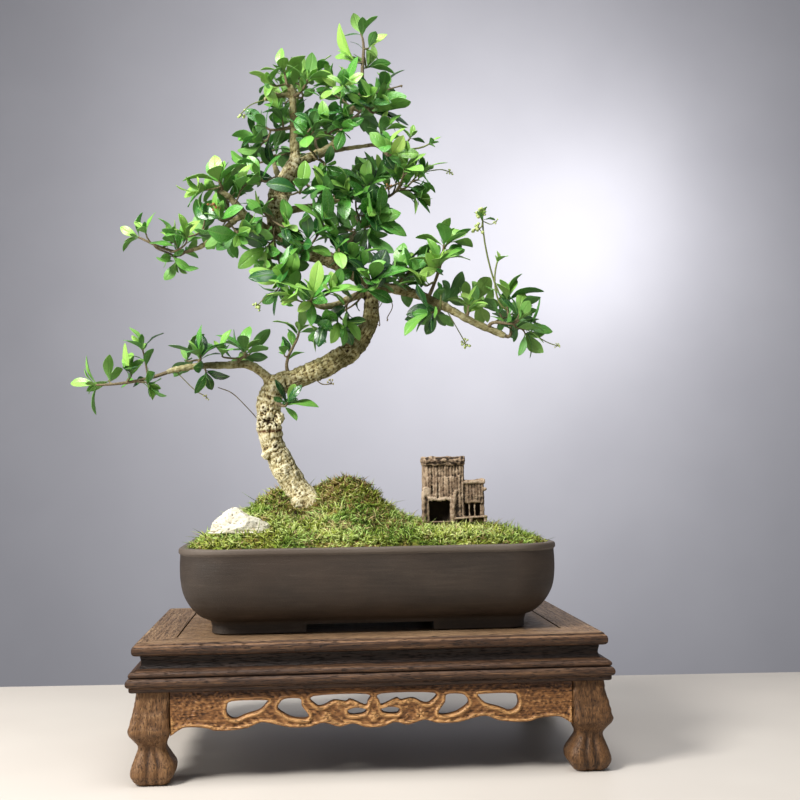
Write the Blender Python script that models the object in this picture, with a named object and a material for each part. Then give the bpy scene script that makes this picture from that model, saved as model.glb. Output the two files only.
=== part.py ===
"""Fukien tea bonsai: a leaning tree in a mossed clay pot on a carved wooden display stand.

Every size below is in millimetres and becomes metres when a mesh is made.  While the
pieces are drawn, the origin is on the floor under the middle of the stand, with +Y away
from the viewer.  At the end everything is shifted so that the origin is under the middle
of the whole object's box.
"""

import math
import random
from collections import namedtuple

import bmesh
import bpy
from mathutils import Matrix, Vector, noise
from mathutils.bvhtree import BVHTree

MM = 0.001
GAP = 0.3                      # clearance between pieces that touch on the real object
UP = Vector((0.0, 0.0, 1.0))

# Display stand
STAND_LENGTH = 360.0
STAND_DEPTH = 235.0
STAND_TOP = 105.0              # height of the surface that the pot stands on
RAIL_TOP = 94.7                # the strip with the waist and the beads under the top frame
RAIL_BOTTOM = 68.5
FRAME_WIDTH = 30.0             # mitred frame around the top panel
LEG_INSET = 3.0                # leg and apron faces behind the widest line of the top
LEG_WIDTH = 25.0
APRON_THICKNESS = 7.0

# Pot
POT_LENGTH = 300.0
POT_WIDTH = 214.0
POT_CORNER = 40.0
POT_BASE = STAND_TOP
FOOT_HEIGHT = 7.0
RIM_TOP = 172.6

# Moss, soil and the trunk's root end
MOSS_THICKNESS = 7.0
MOSS_PLATEAU = 184.0
ROOT_END = 183.0
ROOT_CLEARANCE = 1.0

# Leaves and their stems
BLADE = 0.7                    # blade thickness
LEAF_WIDTH = 0.43              # full width over length
STEM_RADIUS = 1.5
TWIG_RADIUS = 1.0
LEAF_CLEARANCE = 0.45          # kept between a blade and every other piece
LEAF_TRIES = 14


# Scene and material helpers

def clear_scene():
    """Start from an empty scene, without closing the file."""
    for thing in list(bpy.data.objects):
        bpy.data.objects.remove(thing, do_unlink=True)


def new_collection(name):
    """Make a collection in the scene."""
    collection = bpy.data.collections.new(name)
    bpy.context.scene.collection.children.link(collection)
    return collection


def new_material(name, colour, roughness, metallic=0.0):
    """Make a Principled material from a linear colour."""
    material = bpy.data.materials.new(name)
    material.use_nodes = True
    shader = material.node_tree.nodes["Principled BSDF"]
    shader.inputs["Base Color"].default_value = (*colour, 1.0)
    shader.inputs["Roughness"].default_value = roughness
    shader.inputs["Metallic"].default_value = metallic
    material.diffuse_color = (*colour, 1.0)
    return material


clear_scene()
PARTS = new_collection("fukien_tea_bonsai")
CUTTERS = new_collection("cutters")

CARVED_WOOD = new_material("carved_wood", (0.155, 0.078, 0.038), 0.42)
DARK_WOOD = new_material("dark_wood", (0.050, 0.028, 0.018), 0.38)
POT_CLAY = new_material("pot_clay", (0.060, 0.050, 0.045), 0.62)
SOIL_BROWN = new_material("soil", (0.045, 0.030, 0.020), 0.95)
MOSS_GREEN = new_material("moss", (0.110, 0.190, 0.030), 0.90)
WHITE_STONE = new_material("white_stone", (0.620, 0.610, 0.580), 0.60)
HUT_CLAY = new_material("hut_clay", (0.230, 0.160, 0.100), 0.80)
BARK = new_material("bark", (0.330, 0.260, 0.170), 0.85)
LEAF_GREEN = new_material("leaf_green", (0.050, 0.210, 0.040), 0.35)


# Mesh helpers

def mesh_from(name, bm, smooth=False):
    """Turn a bmesh in millimetres into a mesh in metres with its faces pointing out."""
    bmesh.ops.recalc_face_normals(bm, faces=bm.faces)
    bmesh.ops.scale(bm, vec=(MM, MM, MM), verts=bm.verts)
    mesh = bpy.data.meshes.new(name)
    bm.to_mesh(mesh)
    bm.free()
    if smooth:
        mesh.shade_smooth()
        mesh.set_sharp_from_angle(angle=math.radians(35))
    return mesh


def add_part(name, mesh, material):
    """Add a named sub-part to the object's collection."""
    mesh.materials.clear()
    mesh.materials.append(material)
    thing = bpy.data.objects.new(name, mesh)
    PARTS.objects.link(thing)
    return thing


def add_cutter(name, mesh, collection=None):
    """Add a shape that is only used in a Boolean."""
    thing = bpy.data.objects.new(name, mesh)
    (collection or CUTTERS).objects.link(thing)
    thing.hide_render = True
    thing.display_type = "WIRE"
    return thing


def skin(rings):
    """Loft a stack of rings with equal point counts into a closed solid."""
    bm = bmesh.new()
    loops = [[bm.verts.new(point) for point in ring] for ring in rings]
    count = len(loops[0])
    for lower, upper in zip(loops, loops[1:]):
        for i in range(count):
            j = (i + 1) % count
            bm.faces.new((lower[i], lower[j], upper[j], upper[i]))
    bm.faces.new(loops[0])
    bm.faces.new(loops[-1])
    return bm


def box(low, high):
    """A box between two corners."""
    bm = bmesh.new()
    bmesh.ops.create_cube(bm, size=1.0)
    low = Vector(low)
    high = Vector(high)
    bmesh.ops.scale(bm, vec=high - low, verts=bm.verts)
    bmesh.ops.translate(bm, vec=(high + low) / 2, verts=bm.verts)
    return bm


def rounded_rectangle(half_x, half_y, radius, height, corner_points):
    """Points of a level rectangle with round corners, anticlockwise from above."""
    ring = []
    corners = ((1, 1, 0), (-1, 1, 90), (-1, -1, 180), (1, -1, 270))
    for side_x, side_y, start in corners:
        centre = Vector((side_x * (half_x - radius), side_y * (half_y - radius), height))
        for step in range(corner_points):
            angle = math.radians(start + 90 * step / (corner_points - 1))
            ring.append(centre + Vector((math.cos(angle), math.sin(angle), 0)) * radius)
    return ring


def smooth_route(points, steps):
    """Catmull-Rom curve through hand-placed points, with `steps` stretches between each two."""
    nodes = [Vector(point) for point in points]
    padded = [2 * nodes[0] - nodes[1], *nodes, 2 * nodes[-1] - nodes[-2]]
    route = []
    for a, b, c, d in zip(padded, padded[1:], padded[2:], padded[3:]):
        for step in range(steps):
            t = step / steps
            route.append(0.5 * (2 * b + (c - a) * t + (2 * a - 5 * b + 4 * c - d) * t * t
                                + (3 * b - a - 3 * c + d) * t * t * t))
    route.append(nodes[-1])
    return route


def tube_mesh(name, route, radii, bevel_resolution):
    """A round tube along a route, with a radius at each point and closed ends."""
    curve = bpy.data.curves.new(name, "CURVE")
    curve.dimensions = "3D"
    curve.bevel_depth = MM
    curve.bevel_resolution = bevel_resolution
    curve.use_fill_caps = True
    spline = curve.splines.new("POLY")
    spline.points.add(len(route) - 1)
    for point, place, radius in zip(spline.points, route, radii):
        point.co = (*(place * MM), 1.0)
        point.radius = radius
    return mesh_from_curve(name, curve)


def mesh_from_curve(name, curve):
    """Evaluate a curve to a mesh with its caps welded on, and remove the curve."""
    guide = bpy.data.objects.new(name, curve)
    CUTTERS.objects.link(guide)
    view = bpy.context.evaluated_depsgraph_get()
    mesh = bpy.data.meshes.new_from_object(guide.evaluated_get(view))
    bpy.data.objects.remove(guide, do_unlink=True)
    bpy.data.curves.remove(curve)
    bm = bmesh.new()
    bm.from_mesh(mesh)
    bmesh.ops.remove_doubles(bm, verts=bm.verts, dist=0.000001)
    bmesh.ops.recalc_face_normals(bm, faces=bm.faces)
    bm.to_mesh(mesh)
    bm.free()
    return mesh


def add_boolean(thing, cutter, operation):
    """Cut or join one mesh with another by a Boolean modifier."""
    modifier = thing.modifiers.new(f"{operation.lower()} {cutter.name}", "BOOLEAN")
    modifier.operation = operation
    modifier.object = cutter
    modifier.solver = "EXACT"


def fuse(thing, meshes):
    """Join many closed meshes to an object by one Boolean union on a collection."""
    pieces = new_collection(f"{thing.name}_pieces")
    for index, mesh in enumerate(meshes):
        add_cutter(f"{thing.name}_piece_{index}", mesh, pieces)
    modifier = thing.modifiers.new("fuse", "BOOLEAN")
    modifier.operation = "UNION"
    modifier.operand_type = "COLLECTION"
    modifier.collection = pieces
    modifier.solver = "EXACT"
    view = bpy.context.evaluated_depsgraph_get()
    fused = bpy.data.meshes.new_from_object(thing.evaluated_get(view))
    thing.modifiers.remove(modifier)
    material = thing.data.materials[0]
    fused.materials.clear()
    fused.materials.append(material)
    thing.data = fused
    for piece in list(pieces.objects):
        bpy.data.objects.remove(piece, do_unlink=True)
    bpy.data.collections.remove(pieces)
    drop_scraps(fused)
    return thing


def drop_scraps(mesh):
    """Keep the largest connected body of a mesh, and weld points that fell together."""
    bm = bmesh.new()
    bm.from_mesh(mesh)
    bmesh.ops.remove_doubles(bm, verts=bm.verts, dist=0.000002)
    bmesh.ops.dissolve_degenerate(bm, edges=bm.edges, dist=0.000001)
    unseen = set(bm.faces)
    bodies = []
    while unseen:
        front = [unseen.pop()]
        body = set(front)
        while front:
            for edge in front.pop().edges:
                for face in edge.link_faces:
                    if face in unseen:
                        unseen.remove(face)
                        body.add(face)
                        front.append(face)
        bodies.append(body)
    bodies.sort(key=len)
    scraps = [face for body in bodies[:-1] for face in body]
    bmesh.ops.delete(bm, geom=scraps, context="FACES")
    bm.to_mesh(mesh)
    bm.free()


# Display stand

# Inset from the widest line and height of each moulded strip's cross-section.
FRAME_PROFILE = (
    (FRAME_WIDTH + 4, 95.0), (4.0, 95.0), (1.2, 96.4), (0.0, 99.0), (0.6, 101.8), (3.8, STAND_TOP),
    (FRAME_WIDTH, STAND_TOP), (FRAME_WIDTH, 98.4), (FRAME_WIDTH + 4, 98.4),
)
RAIL_PROFILE = (
    (22.0, RAIL_BOTTOM), (1.0, RAIL_BOTTOM), (-1.6, 70.4), (-1.6, 72.0), (-3.7, 73.6), (-4.0, 76.0),
    (-2.9, 78.2), (-0.4, 79.4), (-1.9, 81.0), (-1.5, 83.2), (0.8, 85.0), (5.8, 86.0),
    (6.8, 90.0), (5.8, RAIL_TOP), (22.0, RAIL_TOP),
)

# Distance from the leg's own corner line outwards and inwards, at each height.
LEG_SECTIONS = (
    (0.0, -1.5, 22.5, 5.0), (3.0, 2.4, 25.0, 7.0), (8.0, 4.6, 28.0, 8.0), (14.0, 3.6, 28.4, 8.0),
    (20.5, 1.3, 25.0, 7.0), (27.5, -0.8, 21.5, 6.0), (33.0, 2.2, 23.0, 6.0), (38.5, 5.9, 25.0, 6.0),
    (45.0, 5.0, 25.0, 5.0), (56.0, 2.2, 25.0, 4.0), (RAIL_BOTTOM - GAP, 0.0, 25.0, 3.0),
)

# Half of each apron's lower edge, from the leg to the middle, and its openings.
LONG_APRON_EDGE = (
    (151.7, 36.0), (144.0, 41.0), (138.0, 42.3), (125.0, 41.2), (119.0, 39.2), (108.0, 39.0),
    (95.0, 40.5), (85.0, 44.2), (76.0, 43.0), (63.0, 40.0), (48.0, 40.0), (38.0, 42.6),
    (26.0, 39.4), (16.0, 41.4), (6.0, 38.4),
)
LONG_APRON_OPENINGS = (
    ((106, 60.5), (80.5, 60.5), (80.7, 58), (84, 54.3), (88, 52.2), (96, 50), (103, 47.2),
     (107.5, 48.4), (110, 51.5), (110, 56)),
    ((67, 61), (55.5, 61), (54, 55.5), (49, 48.5), (51.5, 45.7), (61, 46.8), (68, 50.4),
     (72, 54), (71, 57.5)),
    ((45.6, 62.5), (5.5, 63), (4.6, 57), (6, 54.3), (10.6, 56), (17.7, 59), (21, 57.4),
     (30, 58.6), (38, 55), (43, 55.5)),
    ((19.5, 51.3), (13.7, 53), (6, 52), (6.6, 49.3), (10.6, 48), (17.7, 48)),
)
SHORT_APRON_EDGE = (
    (89.2, 36.0), (82.0, 41.0), (75.0, 42.0), (66.0, 40.2), (55.0, 40.4), (46.0, 43.4),
    (37.0, 42.6), (28.0, 40.2), (16.0, 42.2), (6.0, 39.0),
)
SHORT_APRON_OPENINGS = (
    ((66, 60.5), (42, 60.5), (42.5, 57), (47, 53.5), (55, 50.5), (63, 48), (68, 50), (69.5, 55)),
    ((34, 62.5), (5.5, 63), (4.8, 57), (8, 54.5), (14, 58), (21, 58.4), (27, 55.2), (33, 56.5)),
)


def mitred_strip(name, profile, run_half, across_half, angle, material):
    """One side of a moulded frame, mitred at both ends, turned into place about the middle."""
    end_gap = GAP / math.sqrt(2)
    rings = []
    for side in (-1, 1):
        rings.append([
            Vector((side * (run_half - inset - end_gap), inset - across_half, height))
            for inset, height in profile
        ])
    bm = skin(rings)
    turn = Matrix.Rotation(math.radians(angle), 4, "Z")
    bmesh.ops.transform(bm, matrix=turn, verts=bm.verts)
    return add_part(name, mesh_from(name, bm), material)


def mirrored(half, close_at_middle):
    """Both halves of an outline that is the same left and right of the middle."""
    other = [(-x, z) for x, z in reversed(half)]
    return list(half) + other if close_at_middle else other


def apron(name, edge, openings, face_distance, angle):
    """A pierced and scalloped board between two legs."""
    curve = bpy.data.curves.new(name, "CURVE")
    curve.dimensions = "2D"
    curve.fill_mode = "BOTH"
    curve.extrude = APRON_THICKNESS / 2 * MM
    top = RAIL_BOTTOM - GAP
    end = edge[0][0]
    outline = [(end, top), *mirrored(edge, True), (-end, top)]
    holes = list(openings) + [mirrored(opening, False) for opening in openings]
    for ring in (outline, *holes):
        spline = curve.splines.new("POLY")
        spline.use_cyclic_u = True
        spline.points.add(len(ring) - 1)
        for point, (x, z) in zip(spline.points, ring):
            point.co = (x * MM, z * MM, 0.0, 1.0)
    mesh = mesh_from_curve(name, curve)
    stand_up = Matrix.Rotation(math.radians(90), 4, "X")
    move_out = Matrix.Translation((0, -(face_distance - APRON_THICKNESS / 2) * MM, 0))
    mesh.transform(Matrix.Rotation(math.radians(angle), 4, "Z") @ move_out @ stand_up)
    return add_part(name, mesh, CARVED_WOOD)


def leg(name, side_x, side_y):
    """A cabriole leg that bulges outwards at its corner and ends in a rounded foot."""
    corner_x = STAND_LENGTH / 2 - LEG_INSET
    corner_y = STAND_DEPTH / 2 - LEG_INSET
    rings = []
    for height, outward, inward, radius in LEG_SECTIONS:
        half = (outward + inward) / 2
        shift = outward - half
        middle = Vector((side_x * (corner_x + shift), side_y * (corner_y + shift), 0))
        ring = rounded_rectangle(half, half, radius, height, 2)
        rings.append([point + middle for point in ring])
    return add_part(name, mesh_from(name, skin(rings), smooth=True), CARVED_WOOD)


def build_stand():
    """Top panel and frame, moulded rails, pierced aprons and legs."""
    half_x = STAND_LENGTH / 2
    half_y = STAND_DEPTH / 2
    inset = FRAME_WIDTH + GAP
    reach_x = half_x - inset
    reach_y = half_y - inset
    panel = box((-reach_x, -reach_y, 98.4 + GAP), (reach_x, reach_y, STAND_TOP - GAP))
    add_part("stand_panel", mesh_from("stand_panel", panel), DARK_WOOD)
    sides = (("front", half_x, half_y, 0), ("right", half_y, half_x, 90),
             ("back", half_x, half_y, 180), ("left", half_y, half_x, 270))
    for side, run, across, angle in sides:
        mitred_strip(f"stand_frame_{side}", FRAME_PROFILE, run, across, angle, DARK_WOOD)
        mitred_strip(f"stand_rail_{side}", RAIL_PROFILE, run, across, angle, DARK_WOOD)
        face = across - LEG_INSET
        if run > across:
            apron(f"stand_apron_{side}", LONG_APRON_EDGE, LONG_APRON_OPENINGS, face, angle)
        else:
            apron(f"stand_apron_{side}", SHORT_APRON_EDGE, SHORT_APRON_OPENINGS, face, angle)
    for depth, side_y in (("front", -1), ("back", 1)):
        for side, side_x in (("left", -1), ("right", 1)):
            leg(f"stand_leg_{depth}_{side}", side_x, side_y)


# Pot

# Inset from the rim and height of the pot's wall, outside from the base up, then inside down.
POT_WALL = (
    (25.5, 112.0), (25.0, 115.4), (20.5, 116.8), (14.0, 121.0), (8.0, 127.5), (4.2, 134.5),
    (1.9, 143.0), (1.0, 153.0), (1.2, 167.4), (0.0, 168.6), (0.0, RIM_TOP),
    (8.0, RIM_TOP), (9.0, 150.0), (14.0, 131.0), (22.0, 121.0), (32.0, 118.5),
)
POT_INSIDE = 11                # index in POT_WALL where the inside begins
BED_WALL = ((31.4, 118.8), (22.0, 121.0), (14.0, 131.0), (9.0, 150.0))
FOOT_OUTSIDE = 26.0
FOOT_INSIDE = 38.0
FOOT_END_X = 50.0
FOOT_END_Y = 28.0
DRAIN_RADIUS = 8.0
DRAIN_OFFSET = 62.0


def pot_ring(inset, height):
    """A level ring parallel to the pot's rim."""
    radius = max(POT_CORNER - inset, 15.0)
    return rounded_rectangle(POT_LENGTH / 2 - inset, POT_WIDTH / 2 - inset, radius, height, 4)


def foot_mesh(side_x, side_y):
    """An L-shaped foot under one corner of the pot."""
    outer_x = POT_LENGTH / 2 - FOOT_OUTSIDE
    outer_y = POT_WIDTH / 2 - FOOT_OUTSIDE
    inner_x = POT_LENGTH / 2 - FOOT_INSIDE
    inner_y = POT_WIDTH / 2 - FOOT_INSIDE
    radius = 14.0
    outline = [(outer_x, FOOT_END_Y)]
    for step in range(5):
        angle = math.radians(90 * step / 4)
        outline.append((outer_x - radius + radius * math.cos(angle),
                        outer_y - radius + radius * math.sin(angle)))
    outline += [(FOOT_END_X, outer_y), (FOOT_END_X, inner_y), (inner_x - 3, inner_y),
                (inner_x, inner_y - 3), (inner_x, FOOT_END_Y)]
    rings = [[Vector((side_x * x, side_y * y, height)) for x, y in outline]
             for height in (POT_BASE, POT_BASE + FOOT_HEIGHT + 1)]
    return mesh_from("pot_foot", skin(rings))


def build_pot():
    """A rounded rectangular clay pot with a lip, four corner feet and two drain holes."""
    rings = [pot_ring(inset, height) for inset, height in POT_WALL]
    pot = add_part("pot", mesh_from("pot", skin(rings), smooth=True), POT_CLAY)
    fuse(pot, [foot_mesh(side_x, side_y) for side_x in (-1, 1) for side_y in (-1, 1)])
    for side, name in ((-1, "left"), (1, "right")):
        bm = bmesh.new()
        bmesh.ops.create_cone(bm, cap_ends=True, segments=12, radius1=DRAIN_RADIUS,
                              radius2=DRAIN_RADIUS, depth=20.0)
        bmesh.ops.translate(bm, vec=(side * DRAIN_OFFSET, 0, 115), verts=bm.verts)
        hole = add_cutter(f"drain_{name}", mesh_from(f"drain_{name}", bm))
        add_boolean(pot, hole, "DIFFERENCE")


# Soil and moss

# Centre, height above the plateau and reach left, right and in depth of each swell; the
# last one is the hollow in front of the trunk's foot.
MOSS_SWELLS = (
    ((-10.0, 12.0), 40.0, 50.0, 36.0, 50.0),
    ((-76.0, 8.0), 26.0, 34.0, 34.0, 44.0),
    ((-50.0, -14.0), -19.0, 16.0, 18.0, 22.0),
)
MOSS_CENTRE = Vector((-20.0, 10.0, 0.0))
MOSS_RINGS = (1.0, 0.94, 0.8, 0.6, 0.4, 0.2, 0.0)
MOSS_EDGE_DROP = 11.5          # how far the moss falls from its plateau to the pot's wall


def moss_height(x, y, edge):
    """Height of the moss at a place; edge is 1 at the pot's wall and 0 in the middle."""
    height = MOSS_PLATEAU - MOSS_EDGE_DROP * edge ** 5
    for (centre_x, centre_y), rise, left, right, depth in MOSS_SWELLS:
        reach = left if x < centre_x else right
        distance = ((x - centre_x) / reach) ** 2 + ((y - centre_y) / depth) ** 2
        height += rise * math.exp(-distance) * (1 - edge ** 4)
    return height


def bed_ring(inset, height):
    """A level ring parallel to the pot's rim, with points along its straight sides too."""
    corners = pot_ring(inset, height)
    ring = []
    for a, b in zip(corners, corners[1:] + corners[:1]):
        steps = math.ceil((b - a).length / 60)
        ring += [a.lerp(b, step / steps) for step in range(steps)]
    return ring


def bed_rings(wall_inset, drop):
    """Rings over the whole bed from the pot's wall in, a set drop below the moss surface."""
    wall = bed_ring(wall_inset, 0)
    rings = []
    for share in MOSS_RINGS:
        ring = []
        for point in wall:
            place = MOSS_CENTRE + (point - MOSS_CENTRE) * share
            place.z = moss_height(place.x, place.y, share) - drop
            ring.append(place)
        rings.append(ring)
    return rings


def bed_skin(rings):
    """Loft rings that end in a point, and split the faces the same way in soil and moss."""
    bm = skin(rings)
    bmesh.ops.remove_doubles(bm, verts=bm.verts, dist=0.001)
    bmesh.ops.triangulate(bm, faces=bm.faces, quad_method="SHORT_EDGE")
    return bm


def build_bed(trunk_route, trunk_radii):
    """Soil that fills the pot, and the moss mound over it, with a plain hole for the trunk."""
    inset = POT_WALL[POT_INSIDE + 1][0] + GAP
    walls = [bed_ring(wall_inset + 2 * GAP, height + GAP) for wall_inset, height in BED_WALL]
    soil_rings = walls + bed_rings(inset, MOSS_THICKNESS + GAP + 0.1)
    moss_rings = bed_rings(inset, MOSS_THICKNESS)[::-1] + bed_rings(inset, 0.0)
    soil = add_part("soil", mesh_from("soil", bed_skin(soil_rings), smooth=True), SOIL_BROWN)
    moss = add_part("moss", mesh_from("moss", bed_skin(moss_rings), smooth=True), MOSS_GREEN)

    hole_route = [trunk_route[0] - UP * GAP, *trunk_route[1:7]]
    hole_radii = [radius + ROOT_CLEARANCE for radius in trunk_radii[:7]]
    hole = add_cutter("trunk_hole", tube_mesh("trunk_hole", hole_route, hole_radii, 3))
    add_boolean(soil, hole, "DIFFERENCE")
    add_boolean(moss, hole, "DIFFERENCE")
    seats = (("stone_seat", STONE_SEAT, STONE_BASE), ("hut_seat", HUT_SEAT, HUT_BASE))
    for name, outline, seat in seats:
        rings = [[Vector((x, y, height)) for x, y in outline] for height in (seat - GAP, seat + 40)]
        seat_cutter = add_cutter(name, mesh_from(name, skin(rings)))
        add_boolean(moss, seat_cutter, "DIFFERENCE")
        if name == "stone_seat":
            add_boolean(soil, seat_cutter, "DIFFERENCE")


# Stone

STONE_BASE = 182.5
STONE_CENTRE = (-102.0, -55.0)
STONE_REACH = (27.5, 15.0, 19.0)
STONE_SIDES = 12
STONE_LEVELS = 6
STONE_SEAT = ((-132.5, -55.0), (-128.0, -66.0), (-116.0, -72.5), (-90.0, -72.5), (-77.0, -66.0),
              (-72.0, -55.0), (-77.0, -44.0), (-90.0, -37.5), (-116.0, -37.5), (-128.0, -44.0))


def build_stone():
    """A pale rough stone, peaked left of its middle, lying on a flat underside."""
    rings = []
    for level in range(STONE_LEVELS):
        lift = level / (STONE_LEVELS - 1)
        spread = math.sqrt(1 - 0.94 * lift ** 1.6)
        ring = []
        for side in range(STONE_SIDES):
            angle = 2 * math.pi * side / STONE_SIDES
            direction = Vector((math.cos(angle), math.sin(angle), lift))
            rough = 1 + 0.16 * noise.noise(direction * 2.3 + Vector((4.0, 1.0, 2.0))) * (0.4 + lift)
            x = STONE_CENTRE[0] + STONE_REACH[0] * spread * rough * math.cos(angle)
            y = STONE_CENTRE[1] + STONE_REACH[1] * spread * rough * math.sin(angle)
            slope = 1 - 0.30 * lift * math.cos(angle - 0.4)
            ring.append(Vector((x, y, STONE_BASE + STONE_REACH[2] * lift * (slope if level else 1))))
        rings.append(ring)
    add_part("stone", mesh_from("stone", skin(rings)), WHITE_STONE)


# Clay hut

HUT_BASE = 186.5
HUT_LEFT = 47.0
TOWER_WIDTH = 36.0
TOWER_DEPTH = 27.0
TOWER_HEIGHT = 49.0
ANNEX_WIDTH = 18.0
ANNEX_DEPTH = 20.0
ANNEX_HEIGHT = 34.0
HUT_FRONT = -24.0
BENCH_DEPTH = 5.0
SLAT_WIDTH = 2.2
SLAT_PROUD = 1.0
HUT_SEAT = ((44.0, -31.5), (107.0, -31.5), (107.0, 6.0), (44.0, 6.0))


def build_hut():
    """A small fired-clay hut: a slatted tower with a doorway, and a lower annex with a bench."""
    tower_right = HUT_LEFT + TOWER_WIDTH
    tower_top = HUT_BASE + TOWER_HEIGHT
    tower_back = HUT_FRONT + TOWER_DEPTH
    annex_right = tower_right + ANNEX_WIDTH
    annex_front = HUT_FRONT + 2
    annex_back = annex_front + ANNEX_DEPTH
    annex_top = HUT_BASE + ANNEX_HEIGHT
    wall_left = HUT_LEFT + 3.4
    tower = box((wall_left, HUT_FRONT, HUT_BASE), (tower_right, tower_back, tower_top))
    hut = add_part("clay_hut", mesh_from("clay_hut", tower), HUT_CLAY)
    boxes = [
        ((wall_left - 0.8, HUT_FRONT - 1.6, tower_top - 1),
         (tower_right + 0.8, tower_back + 1.6, tower_top + 6)),
        ((HUT_LEFT, HUT_FRONT - 2.5, HUT_BASE), (HUT_LEFT + 6, HUT_FRONT + 6, HUT_BASE + 29)),
        ((HUT_LEFT + 24, HUT_FRONT - 2, HUT_BASE), (HUT_LEFT + 29, HUT_FRONT + 2, HUT_BASE + 20)),
        ((HUT_LEFT + 5, HUT_FRONT - 2.2, HUT_BASE + 18.5),
         (HUT_LEFT + 27, HUT_FRONT + 2, HUT_BASE + 22)),
        ((tower_right - 2, annex_front, HUT_BASE), (annex_right - 1, annex_back, annex_top)),
        ((tower_right - 1, annex_front - 1.6, annex_top - 2.5),
         (annex_right + 1, annex_back + 1.2, annex_top + 1)),
        ((annex_right - 6, annex_front - 0.6, annex_top - 1),
         (annex_right + 0.5, annex_front + 6, annex_top + 2.5)),
        ((HUT_LEFT + 26, HUT_FRONT - BENCH_DEPTH, HUT_BASE),
         (annex_right + 1.5, annex_front + 2, HUT_BASE + 5)),
    ]
    slats = []
    for index in range(7):
        left = wall_left + 1.2 + index * 4.6
        low = HUT_BASE + (21 if index < 5 else 4)
        slats.append(((left, HUT_FRONT - SLAT_PROUD, low),
                      (left + SLAT_WIDTH, HUT_FRONT + 1, tower_top)))
        slats.append(((left, tower_back - 1, HUT_BASE + 1),
                      (left + SLAT_WIDTH, tower_back + SLAT_PROUD, tower_top)))
    for index in range(4):
        near = HUT_FRONT + 8.5 + index * 4.9
        slats.append(((wall_left - SLAT_PROUD, near, HUT_BASE + 1),
                      (wall_left + 1, near + SLAT_WIDTH, tower_top)))
    for index in range(3):
        left = tower_right + 1.6 + index * 4.9
        slats.append(((left, annex_front - SLAT_PROUD, HUT_BASE + 16.5),
                      (left + SLAT_WIDTH, annex_front + 1, annex_top)))
    fuse(hut, [mesh_from("hut_piece", box(low, high)) for low, high in boxes + slats])
    openings = (
        ("hut_doorway", (HUT_LEFT + 6.5, HUT_FRONT - 6, HUT_BASE + 1),
         (HUT_LEFT + 24, HUT_FRONT + 12, HUT_BASE + 18.5)),
        ("hut_window", (tower_right + 1, annex_front - 6, HUT_BASE + 5),
         (annex_right - 4, annex_front + 9, HUT_BASE + 16)),
    )
    for name, low, high in openings:
        add_boolean(hut, add_cutter(name, mesh_from(name, box(low, high))), "DIFFERENCE")


# Trunk and main branches

# Centreline and radius of the trunk, from its root end in the soil to the fork in the crown.
TRUNK_LINE = (
    (-49, 10, ROOT_END, 14.2), (-50, 10, 195, 14.4), (-53, 10, 207, 14.0), (-57, 10, 214, 12.3),
    (-61, 10, 222, 10.9), (-66, 9, 231, 10.8), (-71, 9, 240, 10.9), (-78, 8, 254, 9.9),
    (-80, 7, 264, 10.6), (-81, 6, 277, 10.4), (-80, 5, 290, 10.6), (-77, 4, 301, 10.0),
    (-70, 3, 307, 9.2), (-59, 2, 310, 8.5), (-43, 0, 316, 8.8), (-28, -2, 323, 9.2),
    (-14, -4, 331, 8.9), (-4, -5, 340, 8.0), (3, -6, 350, 7.3), (7, -6, 360, 7.4),
    (8, -5, 371, 6.8), (6, -2, 385, 6.6), (-3, 3, 400, 6.8), (-24, 8, 413, 7.0),
    (-49, 10, 423, 7.2), (-66, 9, 435, 7.8), (-74, 6, 452, 8.2), (-69, 3, 472, 8.6),
    (-61, 1, 489, 7.4), (-54, 0, 503, 5.6),
)

# Centreline of each main branch, with its radius where it leaves the trunk and at its end.
BRANCHES = {
    "leader_left": (((-56, 0, 500), (-57, -4, 525), (-58, -6, 552), (-60, -6, 565)), 4.6, 2.5),
    "cut_stub": (((-59, -6, 556), (-71, -10, 553), (-82, -14, 549)), 2.9, 2.4),
    "leader_right": (((-56, 0, 499), (-40, 4, 505), (-24, 8, 514), (-17, 8, 525), (-12, 8, 536),
                      (-4, 6, 552), (3, 4, 564), (3, 2, 577)), 4.8, 1.7),
    "right_mid": (((-27, 9, 511), (-9, -4, 510), (9, -14, 510)), 2.7, 1.9),
    "mid_right": (((-73, 5, 452), (-57, 14, 460), (-42, 20, 464), (-21, 24, 471), (-3, 24, 473),
                   (13, 18, 470)), 4.0, 2.1),
    "left_upper": (((-72, 9, 436), (-87, -6, 442), (-99, -14, 449), (-106, -18, 457), (-113, -20, 464),
                    (-120, -22, 468)), 4.8, 2.4),
    "far_left": (((-100, -14, 450), (-114, -6, 441), (-133, 4, 428), (-145, 8, 423)), 3.2, 2.2),
    "right_branch": (((6, -2, 386), (20, -6, 388), (37, -10, 384), (54, -14, 378), (74, -20, 367),
                      (92, -24, 356), (120, -28, 343)), 5.0, 3.1),
    "low_left": (((-76, 4, 301), (-84, 0, 314), (-98, -8, 322), (-115, -16, 321), (-136, -22, 320),
                  (-156, -26, 317), (-164, -27, 314)), 4.6, 2.3),
    "centre_small": (((5, -2, 384), (-9, -14, 378), (-24, -26, 370), (-36, -34, 368),
                      (-46, -40, 371)), 3.8, 2.6),
    "back_mid": (((-24, 8, 413), (-16, 36, 428), (-5, 64, 446)), 4.4, 2.2),
    "back_upper": (((-67, 3, 476), (-72, 30, 495), (-77, 52, 514)), 3.9, 2.1),
}

# Place and radius of burls and healed cuts on the trunk.
BURLS = (
    ((-70, -1, 276), 5.2), ((-87, 2, 262), 4.6), ((-76, -4, 300), 5.6), ((-20, -9, 331), 5.0),
    ((-68, -5, 462), 5.6), ((-62, 6, 479), 5.4), ((-76, 4, 470), 5.0), ((-57, -4, 493), 4.2),
)


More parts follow.
